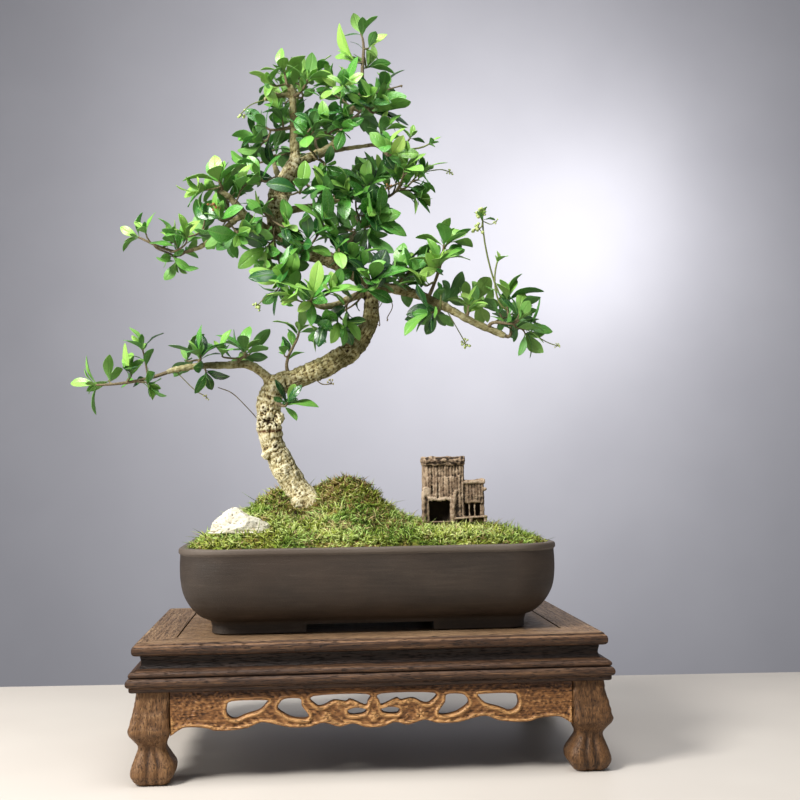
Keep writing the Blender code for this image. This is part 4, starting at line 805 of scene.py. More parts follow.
def apron_grid(end, outline, holes):
    """Points spread evenly over the board, clear of its edges."""
    grid = []
    for row, z in enumerate(np.arange(CARVE_LOW, APRON_TOP, CARVE_STEP * 0.9)):
        grid += [(x + (row % 2) * CARVE_STEP / 2, z) for x in np.arange(-end, end, CARVE_STEP)]
    grid = np.array(grid)
    keep = in_wood(grid, outline, holes)
    for loop in (outline, *holes):
        keep &= distances(grid, loop) > 0.55 * CARVE_STEP
    return grid[keep]


def facing_out(points, faces):
    """The faces of a closed solid, turned to face outwards."""
    bm = bmesh.new()
    verts = [bm.verts.new(point) for point in points]
    for face in faces:
        bm.faces.new([verts[corner] for corner in face])
    bmesh.ops.recalc_face_normals(bm, faces=bm.faces)
    bm.verts.index_update()
    faces = [tuple(vert.index for vert in face.verts) for face in bm.faces]
    bm.free()
    return faces


def build_apron(name, half_edge, half_openings, blossoms, across, angle, offset):
    """A pierced board between two legs, with its face carved in relief."""
    outline, holes = apron_loops(half_edge, half_openings)
    end = half_edge[0][0]
    border = []
    edges = []
    for loop in (outline, *holes):
        start, size = len(border), len(loop)
        edges += [(start + i, start + (i + 1) % size) for i in range(size)]
        border += loop
    face_points = border + [Vector(point) for point in apron_grid(end, outline, holes)]
    flat = np.array([tuple(point) for point in face_points])

    def triangles(points):
        """Triangles that fill the board between its outline and its openings."""
        made = geometry.delaunay_2d_cdt(points, edges, [], 1, 1e-6)
        found = np.array([[made[3][corner][0] for corner in face] for face in made[2]])
        keep = in_wood(flat[found].mean(1), outline, holes)
        return [tuple(face) for face in found[keep].tolist()]

    relief = carving(flat, holes, outline, blossoms, end)
    front = LEG_INSET - across
    count = len(flat)
    points = [(x, front - rise, z) for (x, z), rise in zip(flat, relief)]
    points += [(point.x, front + APRON_THICKNESS, point.y) for point in border]
    faces = triangles(face_points)
    faces += [tuple(count + corner for corner in reversed(face)) for face in triangles(border)]
    faces += [(b, a, count + a, count + b) for a, b in edges]
    # Painted shade: raised carving lighter and its hollows darker, the board darker under the rail, and its
    # back face darker.
    shaded = 0.40 * soft_step(flat[:, 1], SHADE_LOW, 6)
    hollow = np.concatenate([0.38 - relief * 0.7 + shaded, np.full(len(border), 0.6)])
    shape = turned(points, angle), facing_out(points, faces)
    grain = np.asarray(points) + (offset, 0.0, 0.0)
    add_wood(name, f"stand_{name}", shape, grain, CARVED_WOOD, 40, hollow)


# Height, distance from the leg's corner line outwards and inwards, and corner radius.
LEG_SECTIONS = (
    (0.0, -1.5, 22.5, 5.0), (1.2, 0.6, 24.0, 6.0), (3.0, 2.4, 25.0, 7.0), (8.0, 4.6, 28.0, 8.0),
    (14.0, 3.6, 28.4, 8.0), (20.5, 1.3, 25.0, 7.0), (27.5, -0.8, 21.5, 6.0), (33.0, 2.2, 23.0, 6.0),
    (38.5, 5.9, 25.0, 6.0), (45.0, 5.0, 25.0, 5.0), (56.0, 2.2, 25.0, 4.0), (APRON_TOP, 0.0, 25.0, 3.0),
)
LEG_GROOVES = (0.39, 0.64)     # share of the foot's width from its outer corner
GROOVE_DEPTH = 1.1
GROOVE_REACH = 1.5
GROOVE_HEIGHT = 14.0     # the grooves are deepest here
GROOVE_FADE = 15.0
SHOULDER_LOW = 34.0
SHOULDER_HIGH = 68.0
LEG_RING = 72


def square_points(half, radius, count):
    """Points spaced evenly round a square with round corners, about its middle."""
    flat = 2 * (half - radius)
    arc = math.pi * radius / 2
    total = 4 * (flat + arc)
    points = []
    for step in range(count):
        way = total * (step + 0.5) / count
        side = int(way // (flat + arc)) % 4
        rest = way - side * (flat + arc)
        if rest < flat:
            x, y = half, rest - flat / 2
        else:
            angle = (rest - flat) / radius
            x, y = half - radius + radius * math.cos(angle), flat / 2 + radius * math.sin(angle)
        for _ in range(side):
            x, y = -y, x
        points.append((x, y))
    return points


def leg_carving(x, y, height, half, radius, offset):
    """How deep the foot's grooves and the shoulder's ripples cut in at a point of the leg."""
    foot = math.exp(-((height - GROOVE_HEIGHT) / GROOVE_FADE) ** 4)
    depth = 0.0
    for share in LEG_GROOVES:
        place = half - 2 * half * share
        for out, along in ((x, y), (y, x)):
            if out > half - radius * 0.6:
                depth += GROOVE_DEPTH * foot * math.exp(-((along - place) / GROOVE_REACH) ** 2)
    shoulder = min(max((height - SHOULDER_LOW) / 8, 0), 1) * min(max((SHOULDER_HIGH - height) / 3, 0), 1)
    wave = noise.noise(Vector((x * 0.22, y * 0.22, height * 0.30 + offset)))
    return depth + shoulder * 0.45 * (0.5 + wave * 1.4)


def build_leg(name, side_x, side_y, offset):
    """A cabriole leg with a grooved foot and rippled carving on its shoulder."""
    heights, _, _, corner_radii = zip(*LEG_SECTIONS)
    rings = []
    depths = []
    for outward, inward, height in smooth_route([(row[1], row[2], row[0]) for row in LEG_SECTIONS], 6):
        half = (outward + inward) / 2
        radius = np.interp(height, heights, corner_radii)
        middle_x = HALF_LENGTH - LEG_INSET + outward - half
        middle_y = HALF_DEPTH - LEG_INSET + outward - half
        ring = []
        for x, y in square_points(half, radius, LEG_RING):
            depth = leg_carving(x, y, height, half, radius, offset)
            scale = 1 - depth / half
            depths.append(depth)
            ring.append((side_x * (x * scale + middle_x), side_y * (y * scale + middle_y), height))
        rings.append(ring)
    points, faces = loft(rings, side_x * side_y < 0)
    grain = np.asarray(points)[:, [2, 0, 1]] + (offset, 0.0, 0.0)
    # Painted shade: the grooves and ripples darker, and the right legs darker still, as the light falls off
    # towards them.
    hollow = np.array(depths) * 0.75 + (0.1 if side_x < 0 else 0.34)
    add_wood(name, f"stand_{name}", (points, faces), grain, LEG_WOOD, 50, hollow)


def build_stand():
    """All pieces of the display stand."""
    for index, side in enumerate(SIDES):
        build_strip("frame", FRAME_PROFILE, index, *side)
        build_strip("rail", RAIL_PROFILE, index, *side)
    build_panel()
    for index, (side, run, across, angle) in enumerate(SIDES):
        shape = LONG_APRON if run > across else SHORT_APRON
        build_apron(f"apron_{side}", *shape, across, angle, 500.0 * index)
    for index, (side_x, side_y) in enumerate(((-1, -1), (1, -1), (-1, 1), (1, 1))):
        name = f"leg_{'front' if side_y < 0 else 'back'}_{'left' if side_x < 0 else 'right'}"
        build_leg(name, side_x, side_y, 61.0 * index)


# Pot

POT_LENGTH = 300.0
POT_WIDTH = 214.0
POT_CORNER = 40.0
POT_BASE = 105.0
RIM_TOP = 172.6
LIP_BOTTOM = 167.2     # a painted highlight lightens the clay above this
WALL_BOTTOM = 116.0     # the clay is uneven above this
POT_WALL = (
    (25.5, 112.0, 1), (25.2, 114.6), (23.6, 115.8), (20.5, 116.8), (17.0, 118.6), (14.0, 121.0),
    (10.8, 124.0), (8.0, 127.5), (6.0, 130.8), (4.2, 134.5), (2.8, 138.6), (1.9, 143.0), (1.3, 148.0),
    (1.0, 153.0), (0.9, 160.0), (1.3, 166.6, 1), (1.0, 167.6), (0.0, 168.4), (0.0, 170.4), (0.2, 171.6),
    (1.0, RIM_TOP), (4.0, RIM_TOP), (7.0, RIM_TOP), (8.2, 171.8), (8.5, 168.0), (9.0, 150.0),
    (14.0, 131.0), (22.0, 121.0), (32.0, 118.5, 1),
)
FOOT_OUTSIDE = 26.0     # inset from the rim
FOOT_INSIDE = 38.0
FOOT_ENDS = (50.0, 28.0)     # how near the middle each arm of a foot reaches
FOOT_CORNER = 14.0
FOOT_CHAMFER = 3.0
FOOT_HEIGHT = 7.0
DRAIN_PLACE = 62.0
DRAIN_RADIUS = 8.0


def rim_ring(inset, height, corner_points=14, side_step=9.0):
    """A level ring parallel to the pot's rim, with points along its straight sides too."""
    radius = max(POT_CORNER - inset, 15.0)
    half_x, half_y = POT_LENGTH / 2 - inset, POT_WIDTH / 2 - inset
    corners = []
    for side_x, side_y, start in ((1, 1, 0), (-1, 1, 90), (-1, -1, 180), (1, -1, 270)):
        for step in range(corner_points):
            angle = math.radians(start + 90 * step / (corner_points - 1))
            corners.append(Vector((side_x * (half_x - radius) + radius * math.cos(angle),
                                   side_y * (half_y - radius) + radius * math.sin(angle), height)))
    ring = []
    for index, corner in enumerate(corners):
        after = corners[(index + 1) % len(corners)]
        steps = 1
        if index % corner_points == corner_points - 1:
            run = POT_WIDTH if index // corner_points % 2 else POT_LENGTH
            steps = int((run - 2 * POT_CORNER) / side_step)
        ring += [corner.lerp(after, step / steps) for step in range(steps)]
    return ring


def foot_shape(side_x, side_y):
    """One foot under a corner of the pot: two arms round a soft corner, with a bevelled sole."""
    end_x, end_y = FOOT_ENDS
    outer_x, outer_y = POT_LENGTH / 2 - FOOT_OUTSIDE, POT_WIDTH / 2 - FOOT_OUTSIDE
    inner_x, inner_y = POT_LENGTH / 2 - FOOT_INSIDE, POT_WIDTH / 2 - FOOT_INSIDE
    outline = [(outer_x, end_y)]
    for step in range(9):
        angle = math.radians(90 * step / 8)
        outline.append((outer_x - FOOT_CORNER * (1 - math.cos(angle)),
                        outer_y - FOOT_CORNER * (1 - math.sin(angle))))
    outline += [(end_x, outer_y), (end_x, inner_y), (inner_x - FOOT_CHAMFER, inner_y),
                (inner_x, inner_y - FOOT_CHAMFER), (inner_x, end_y)]
    rings = []
    for bevel, height in ((1.0, 0.0), (0.0, 1.0), (0.0, FOOT_HEIGHT + 1)):
        rings.append([(side_x * (x - bevel * (1 if x > inner_x else -1)),
                       side_y * (y - bevel * (1 if y > inner_y else -1)), POT_BASE + height)
                      for x, y in outline])
    return loft(rings, side_x * side_y < 0)


def cut(thing, shape, operation):
    """Join a shape to an object, or cut it out."""
    cutter = placed("cutter", new_mesh("cutter", *shape))
    modifier = thing.modifiers.new(operation, "BOOLEAN")
    modifier.operation = operation
    modifier.object = cutter
    modifier.solver = "EXACT"
    thing.data = baked(thing)
    thing.modifiers.remove(modifier)
    bpy.data.objects.remove(cutter)


def build_pot():
    """The clay pot with its lip, feet and drain holes."""
    wall = loft([rim_ring(inset, height) for inset, height in rounded_profile(POT_WALL, 1)])
    pot = placed("pot", new_mesh("pot", *wall))
    for side_x in (-1, 1):
        for side_y in (-1, 1):
            cut(pot, foot_shape(side_x, side_y), "UNION")
    for side in (-1, 1):
        route = [(side * DRAIN_PLACE, 0, POT_BASE + rise) for rise in (0, 10, 20)]
        cut(pot, tube(route, [DRAIN_RADIUS] * 3, 32), "DIFFERENCE")
    mesh = pot.data
    bpy.data.objects.remove(pot)
    points = places(mesh)
    height = points[:, 2]
    bumps = rough(points, 0.02, 2) * 0.35 + rough(points, 0.09, 1, 5.0) * 0.12
    fade = soft_step(height, WALL_BOTTOM, 6)
    move_to(mesh, points + normals(mesh) * (bumps * fade)[:, None])
    shade(mesh, 38)
    # A negative hollow note on the lip's band paints a highlight along the rim.
    note(mesh, "hollow", np.where((height > LIP_BOTTOM) & (height < RIM_TOP + 0.5), -0.12, 0.0))
    add_piece("clay_pot", mesh, [POT_CLAY], "pot_clay", "pot")


# Moss

MOSS_PLATEAU = 184.0
MOSS_EDGE_DROP = 11.5
# Centre, rise, reach to the left and right, and reach in depth of each swell of the moss.
MOSS_SWELLS = (
    ((-11.0, 12.0), 40.0, 50.0, 33.0, 50.0),
    ((-76.0, 8.0), 26.0, 34.0, 34.0, 44.0),
    ((-53.0, -14.0), -20.0, 19.0, 20.0, 22.0),
)
MOSS_CENTRE = np.array([-20.0, 10.0])
MOSS_WALL_INSET = 9.3
CUSHION_LEVELS = 26
TUFT_COUNT = 18800
TUFT_LAYERS = (("moss_tufts_a", 5, 9.5), ("moss_tufts_b", 6, 7.0))     # name, seed, length of the shoots
TRUNK_FOOT = (-51.0, 10.0)
TRUNK_CLEARANCE = 13.0
# Soft patches of the moss, each with its centre and reach.
MOUND_PATCH = ((-8, 8), (42, 46))
FOOT_PATCH = ((-47, -6), (25, 24))
PEAK_PATCH = ((-14, 4), (20, 26))
STONE_CENTRE = (-102.0, -55.0)
STONE_REACH = (27.5, 15.0, 19.0)
STONE_BASE = 182.5
HUT_BOX = (46.0, 105.0, -30.0, 5.0)     # left, right, front and back of the hut's ground


def cover_soil():
    """Give the soil's own solid its material."""
    paint(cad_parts["soil"].data, SOIL)


def moss_height(x, y, edge):
    """Height of the moss at places; edge is 1 at the pot's wall and 0 in the middle."""
    height = MOSS_PLATEAU - MOSS_EDGE_DROP * edge ** 5
    for (centre_x, centre_y), rise, left, right, depth in MOSS_SWELLS:
        reach = np.where(x < centre_x, left, right)
        distance = ((x - centre_x) / reach) ** 2 + ((y - centre_y) / depth) ** 2
        height = height + rise * np.exp(-distance) * (1 - edge ** 4)
    return height


def moss_wall():
    """Points of the moss's outer edge."""
    return np.array([tuple(point)[:2] for point in rim_ring(MOSS_WALL_INSET, 0.0, 10, 5.0)])


def build_cushion():
    """The body of the moss under its tufts."""
    wall = moss_wall()
    rings = []
    for below in (True, False):
        for step in range(CUSHION_LEVELS + 1):
            share = max(step / CUSHION_LEVELS if below else 1 - step / CUSHION_LEVELS, 0.02)
            place = MOSS_CENTRE + (wall - MOSS_CENTRE) * share
            height = moss_height(*place.T, share) - (7.0 if below else 1.2)
            ring = np.column_stack([place, height])
            if not below:
                ring[:, 2] += rough(ring, 0.09, 3) * 1.8 * min(1, (1 - share) * 12)
            rings.append([tuple(point) for point in ring])
    points, faces = loft(rings)
    mesh = new_mesh("moss_cushion", points, faces, 60)
    points = np.asarray(points)
    note(mesh, "tone", 0.34 + 0.16 * rough(points, 0.05, 2) + 0.20 * rough(points, 0.30, 2, 6.0))
    note(mesh, "dry", np.clip(0.45 + 0.9 * rough(points, 0.05, 2, 40.0), 0, 1))
    add_piece("moss_cushion", mesh, [MOSS], "moss", "moss")


def clear_of_things(x, y):
    """Where tufts may stand: not in the trunk, the stone or the hut."""
    trunk = np.hypot(x - TRUNK_FOOT[0], y - TRUNK_FOOT[1]) > TRUNK_CLEARANCE
    stone_x = (x - STONE_CENTRE[0]) / (STONE_REACH[0] - 2)
    stone_y = (y - STONE_CENTRE[1]) / (STONE_REACH[1] - 2)
    hut = (x < HUT_BOX[0]) | (x > HUT_BOX[1]) | (y < HUT_BOX[2]) | (y > HUT_BOX[3])
    return trunk & (stone_x ** 2 + stone_y ** 2 > 1) & hut


def unit(rows):
    """Rows of vectors, each made one long."""
    return rows / np.linalg.norm(rows, axis=1)[:, None]


def tuft_places(draw):
    """Where the shoots stand on the cushion, and how near to the pot's wall, from 0 to 1."""
    wall = moss_wall()
    a, b = wall - MOSS_CENTRE, np.roll(wall, -1, axis=0) - MOSS_CENTRE
    area = np.abs(a[:, 0] * b[:, 1] - a[:, 1] * b[:, 0])
    chosen = draw.choice(len(wall), TUFT_COUNT, p=area / area.sum())
    share = np.sqrt(draw.random(TUFT_COUNT))
    along = draw.random((TUFT_COUNT, 1))
    flat = MOSS_CENTRE + (a[chosen] * (1 - along) + b[chosen] * along) * share[:, None]
    keep = clear_of_things(*flat.T)
    return flat[keep], share[keep]


def tuft_shapes(base, middle, tip, radius, side, other):
    """Three-sided shoots that narrow to a tip, as points and faces."""
    rows = []
    for place, width in ((base, 0.9), (middle, 1.0)):
        for corner in range(3):
            angle = 2 * math.pi * corner / 3
            around = side * math.cos(angle) + other * math.sin(angle)
            rows.append(place + around * (radius * width)[:, None])
    points = np.stack([*rows, tip], axis=1).reshape(-1, 3)
    start = np.arange(len(base))[:, None] * 7
    quads = [start + [corner, (corner + 1) % 3, 3 + (corner + 1) % 3, 3 + corner] for corner in range(3)]
    thirds = [start + [3 + corner, 3 + (corner + 1) % 3, 6] for corner in range(3)] + [start + [2, 1, 0]]
    return points, np.concatenate(quads).tolist() + np.concatenate(thirds).tolist()


def patch_near(flat, centre, reach):
    """A soft round patch of the moss bed, 1 at its centre."""
    return np.exp(-(((flat - centre) / reach) ** 2).sum(1))


def build_tufts(name, seed, length):
    """Thin curved moss shoots all over the cushion."""
    draw = np.random.default_rng(seed)
    flat, share = tuft_places(draw)
    count = len(flat)
    base = np.column_stack([flat, moss_height(*flat.T, share)])
    tuft = rough(base, 0.16, 2, 50.0)
    base[:, 2] += -2.0 + 2.6 * tuft * np.clip((1 - share) * 14, 0, 1)
    out = np.column_stack([unit(flat - MOSS_CENTRE), np.zeros(count)])
    clump = np.column_stack([rough(base, 0.13, 2, 0.0), rough(base, 0.13, 2, 31.0), np.zeros(count)])
    heading = (np.array([0, 0, 0.46]) + out * (share ** 10 * 0.8)[:, None] + clump * 1.9
               + draw.normal(0, 0.80, (count, 3)) * (1, 1, 0.40))
    heading[:, 2] = np.abs(heading[:, 2])
    heading = unit(heading)
    bend = draw.normal(0, 1.25, (count, 3)) + (0, 0, -0.30) + out * (share ** 8 * 0.5)[:, None]
    reach = length * draw.uniform(0.5, 1.25, count) * (1 + 0.35 * tuft)
    stray = draw.random(count) < 0.014
    reach = np.where(stray, length * draw.uniform(1.5, 2.5, count), reach)
    reach *= np.where(share > 0.95, 0.8, 1.0)
    from_trunk = np.linalg.norm(flat - TRUNK_FOOT, axis=1)
    reach *= 1 - 0.45 * ridge(from_trunk, TRUNK_CLEARANCE, 7)
    radius = draw.uniform(0.30, 0.58, count) * np.where(stray, 0.7, 1.0)
    side = unit(np.cross(heading, draw.normal(0, 1, (count, 3))))
    ahead = unit(heading + bend * np.where(stray, 0.2, 0.7)[:, None])
    half = (reach * 0.5)[:, None]
    middle = base + heading * half
    points, faces = tuft_shapes(base, middle, middle + ahead * half, radius, side, np.cross(heading, side))
    mesh = new_mesh(name, points, faces, 180)
    mound, foot, peak = (patch_near(flat, *spot) for spot in (MOUND_PATCH, FOOT_PATCH, PEAK_PATCH))
    patch = np.clip(rough(base, 0.035, 2, 70.0) * 1.6 - 0.25, 0, 1)
    tone = 0.60 + draw.normal(0, 0.19, count) + 0.30 * rough(base, 0.022, 2, 9.0) + 0.55 * tuft - 0.06 * mound
    chance = 0.09 + 0.08 * mound + 0.22 * peak + 0.78 * foot + 0.45 * patch
    dry = (draw.random(count) < chance) * draw.uniform(0.6, 1.0, count)
    # Painted shade: each shoot's lowest ring much darker, deep among the shoots, its middle ring a little
    # darker and its tip lighter.
    shoot_shade_by_ring = np.array([-0.56] * 3 + [-0.08] * 3 + [0.22])
    note(mesh, "tone", np.clip((tone[:, None] + shoot_shade_by_ring).ravel(), 0, 1))
    note(mesh, "dry", np.repeat(dry, len(shoot_shade_by_ring)))
    add_piece(name, mesh, [MOSS], "moss")


# Stone

# Its broken faces: which way each looks, and how far out it lies as a share of the stone's reach.
STONE_FACES = (
    (0.50, -0.30, 0.81, 0.80), (-0.62, -0.25, 0.74, 0.84), (-0.10, -0.80, 0.59, 0.78),
    (0.45, -0.80, 0.40, 0.80), (-0.70, -0.70, 0.15, 0.82), (0.10, -1.0, -0.05, 0.88),
    (0.25, 0.60, 0.76, 0.80), (-0.40, 0.80, 0.45, 0.82), (0.85, -0.35, 0.40, 0.86),
    (-0.95, 0.10, 0.30, 0.88), (0.55, 0.75, 0.35, 0.84), (-0.25, -0.45, 0.86, 0.93),
    (0.15, -0.65, 0.75, 0.86),
)


def build_stone():
    """The pale rock with flat broken faces, chipped edges and pits."""
    mesh = melted("white_stone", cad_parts["stone"].data.copy(), 0.8)
    points = smoothed(mesh, places(mesh), 2)
    fade = soft_step(points[:, 2], STONE_BASE, 2)[:, None]
    middle = np.array([*STONE_CENTRE, STONE_BASE])
    shaped = points.copy()
    for *way, share in STONE_FACES:
        way = np.array(way) / np.linalg.norm(way)
        out = (points - middle) @ way
        beyond = (shaped - middle) @ way - share * out.max() + 0.35 * rough(points, 0.16, 2, 9.0)
        shaped -= np.clip(beyond, 0, None)[:, None] * way
    points = points + (shaped - points) * fade
    move_to(mesh, points)
    bumps = 0.55 * rough(points, 0.16, 3) + 0.45 * rough(points * (1, 1, 2.6), 0.30, 2, 3.0)
    pits = np.clip(rough(points, 0.55, 1, 30.0) - 0.28, 0, 1) * 2.2
    move_to(mesh, points + normals(mesh) * ((bumps - pits)[:, None] * fade))
    note(mesh, "hollow", hollows(mesh, 4))
    shade(mesh, 42)
    add_piece("white_stone", mesh, [WHITE_STONE], "white_stone", "stone")


# Clay hut: a tower with an annex at its right, whose names begin with ANNEX

BASE = 186.5
LEFT = 47.0
FRONT = -24.0
TOWER_WIDTH = 36.0
TOWER_DEPTH = 27.0
TOWER_HEIGHT = 49.0
ANNEX_WIDTH = 18.0
ANNEX_DEPTH = 20.0
ANNEX_HEIGHT = 34.0
WALL = LEFT + 3.4
RIGHT = LEFT + TOWER_WIDTH
BACK = FRONT + TOWER_DEPTH
TOP = BASE + TOWER_HEIGHT
DOOR_LEFT = LEFT + 6.5
DOOR_RIGHT = LEFT + 24.0
DOOR_TOP = BASE + 18.5
ANNEX_RIGHT = RIGHT + ANNEX_WIDTH
ANNEX_FRONT = FRONT + 2
ANNEX_BACK = ANNEX_FRONT + ANNEX_DEPTH
ANNEX_TOP = BASE + ANNEX_HEIGHT
ANNEX_WALL = ANNEX_RIGHT - 1.6
BENCH = BASE + 4.2
SLATS = 13
# Two opposite corners of each plain block under the slats and thatch.
TOWER_BLOCKS = (
    ((WALL + 0.6, FRONT + 11.5, BASE), (RIGHT - 0.4, BACK - 0.4, TOP)),
    ((WALL + 0.6, FRONT + 1.0, BASE), (DOOR_LEFT, FRONT + 12, TOP)),
    ((DOOR_RIGHT, FRONT + 1.0, BASE), (RIGHT - 0.4, FRONT + 12, TOP)),
    ((DOOR_LEFT - 1, FRONT + 1.0, DOOR_TOP), (DOOR_RIGHT + 1, FRONT + 12, TOP)),
    ((DOOR_LEFT - 1, FRONT + 0.2, BASE), (DOOR_RIGHT + 1, FRONT + 12, BASE + 1.2)),
    ((WALL + 0.4, FRONT + 0.2, TOP - 1), (RIGHT - 0.2, BACK - 0.2, TOP + 5.6)),
)
ANNEX_BLOCKS = (
    ((RIGHT - 2, ANNEX_FRONT + 9, BASE), (ANNEX_WALL, ANNEX_BACK - 0.4, ANNEX_TOP - 0.6)),
    ((RIGHT - 2, ANNEX_FRONT + 0.7, BASE + 16), (ANNEX_WALL, ANNEX_FRONT + 10, ANNEX_TOP - 0.6)),
    ((RIGHT - 2, ANNEX_FRONT + 0.5, BASE), (RIGHT + 1, ANNEX_FRONT + 10, BASE + 17)),
    ((ANNEX_RIGHT - 4, ANNEX_FRONT + 0.5, BASE), (ANNEX_WALL, ANNEX_FRONT + 10, BASE + 17)),
    ((RIGHT - 2, ANNEX_FRONT + 0.5, BASE), (ANNEX_WALL, ANNEX_FRONT + 10, BASE + 5)),
    ((ANNEX_RIGHT - 5.6, ANNEX_FRONT + 0.4, ANNEX_TOP - 1),
     (ANNEX_RIGHT, ANNEX_FRONT + 5.6, ANNEX_TOP + 1.4)),
)


class Clay(Pile):
    """The hut's lumps, blocks and hand-rolled poles."""

    def __init__(self):
        super().__init__()
        self.draw = random.Random(41)

    def vary(self, reach):
        """A random length from minus to plus a reach."""
        return self.draw.uniform(-reach, reach)

    def blocks(self, corners):
        """Add plain blocks, each given by two opposite corners."""
        for low, high in corners:
            self.add(*box(low, high))

    def pole(self, a, b, radius):
        """Add a slightly crooked pole."""
        a, b = Vector(a), Vector(b)
        middle = a.lerp(b, 0.5) + Vector((self.vary(0.25), self.vary(0.25), 0))
        self.add(*tube([a, middle, b], [radius * self.draw.uniform(0.8, 1.12) for _ in range(3)], 10))

    def lump(self, x, y, z, *reach):
        """Add a rounded lump."""
        self.add(*ellipsoid((x, y, z), reach))


def add_slats(clay):
    """Upright slats on all the tower's walls, those over the door ending in an uneven edge."""
    for index in range(SLATS):
        x = WALL + 1.6 + index * (RIGHT - WALL - 3.0) / (SLATS - 1) + clay.vary(0.25)
        radius = clay.draw.uniform(0.80, 1.12)
        over_door = x < DOOR_RIGHT + 3
        low = BASE + (21.0 + clay.draw.uniform(-1.6, 0.8) if over_door else clay.draw.uniform(2, 6))
        high_x = x + clay.vary(0.5)
        high = BASE + 38.5 + clay.vary(1)
        clay.pole((x, FRONT - (1.4 if over_door else 0.8), low), (high_x, FRONT + 0.2, high), radius)
        clay.pole((x + 0.5, FRONT + 0.8, BASE + 36), (x + 0.5, FRONT + 0.7, TOP), radius * 0.8)
        clay.pole((x, BACK - 0.4, BASE), (x, BACK - 0.5, TOP), radius)
    for index in range(6):
        y = FRONT + 3.0 + index * 4.3
        for x in (WALL + 0.6, RIGHT - 0.4):
            clay.pole((x, y, BASE), (x, y, TOP), clay.draw.uniform(1.1, 1.5))


def add_cap(clay):
    """The bound edge round the tower's top, with knots of thatch."""
    for level, out, radius in ((TOP + 0.2, 1.1, 1.15), (TOP + 3.0, 1.5, 1.7), (TOP + 5.4, 0.6, 1.2)):
        for y in (FRONT - out, BACK + out):
            waves = [(WALL - 0.3 + (RIGHT - WALL + 0.8) * t, y + 0.3 * math.sin(23 * t + level),
                      level + 0.35 * math.sin(17 * t + 2 * level)) for t in np.linspace(0, 1, 15)]
            clay.add(*tube(waves, [radius * clay.draw.uniform(0.8, 1.15) for _ in waves], 10))
        for x in (WALL - 0.1, RIGHT + 0.2):
            clay.pole((x, FRONT - out + 0.4, level), (x, BACK + out - 0.4, level), radius)
    for index in range(6):
        x = WALL + 3.0 + index * 5.4 + clay.vary(0.8)
        for y in (FRONT - 1.7, BACK + 1.7):
            clay.lump(x, y, TOP + 1.6 + clay.draw.uniform(-0.5, 1.2), 2.1, 1.2, 1.1)


def add_doorway(clay):
    """The posts, arch, lintel and leaning trunk round the door."""
    clay.pole((LEFT + 1.9, FRONT - 0.9, BASE), (LEFT + 1.7, FRONT - 0.9, BASE + 25), 1.9)
    clay.pole((LEFT + 5.2, FRONT - 0.4, BASE), (LEFT + 5.2, FRONT - 0.4, BASE + 21), 1.4)
    for shift, level in ((0.0, 25.2), (0.6, 27.6)):
        arch = [(LEFT + 0.4 + shift + (6.2 - shift) * t, FRONT - 1.3,
                 BASE + level + 1.8 * math.sin(math.pi * t)) for t in np.linspace(0, 1, 7)]
        clay.add(*tube(arch, [1.15] * 7, 10))
    clay.lump(LEFT + 2.2, FRONT - 1.9, BASE + 23.4, 1.9, 1.2, 1.7)
    clay.lump(LEFT + 5.4, FRONT - 1.6, BASE + 24.6, 1.5, 1.1, 1.3)
    lintel = [(DOOR_LEFT - 0.8 + 18.5 * t, FRONT - 1.9,
               DOOR_TOP + 1.6 + 0.9 * math.sin(3.2 * math.pi * t) - 0.8 * t) for t in np.linspace(0, 1, 15)]
    clay.add(*tube(lintel, [1.2] * 15, 10))
    for index in range(5):
        clay.lump(DOOR_LEFT + 1.6 + index * 3.6, FRONT - 2.2, DOOR_TOP + 0.6 + clay.draw.uniform(-0.3, 0.5),
                  1.5, 0.9, 1.0)
    sloping = [(DOOR_RIGHT + 4.8, FRONT - 0.2, BASE + 27), (DOOR_RIGHT + 2.8, FRONT - 1.2, BASE + 18),
               (DOOR_RIGHT + 2.2, FRONT - 1.8, BASE + 9), (DOOR_RIGHT + 2.6, FRONT - 2.2, BASE)]
    clay.add(*tube(smooth_route(sloping, 4), [1.9] * 3 + [2.5] * 10, 12))


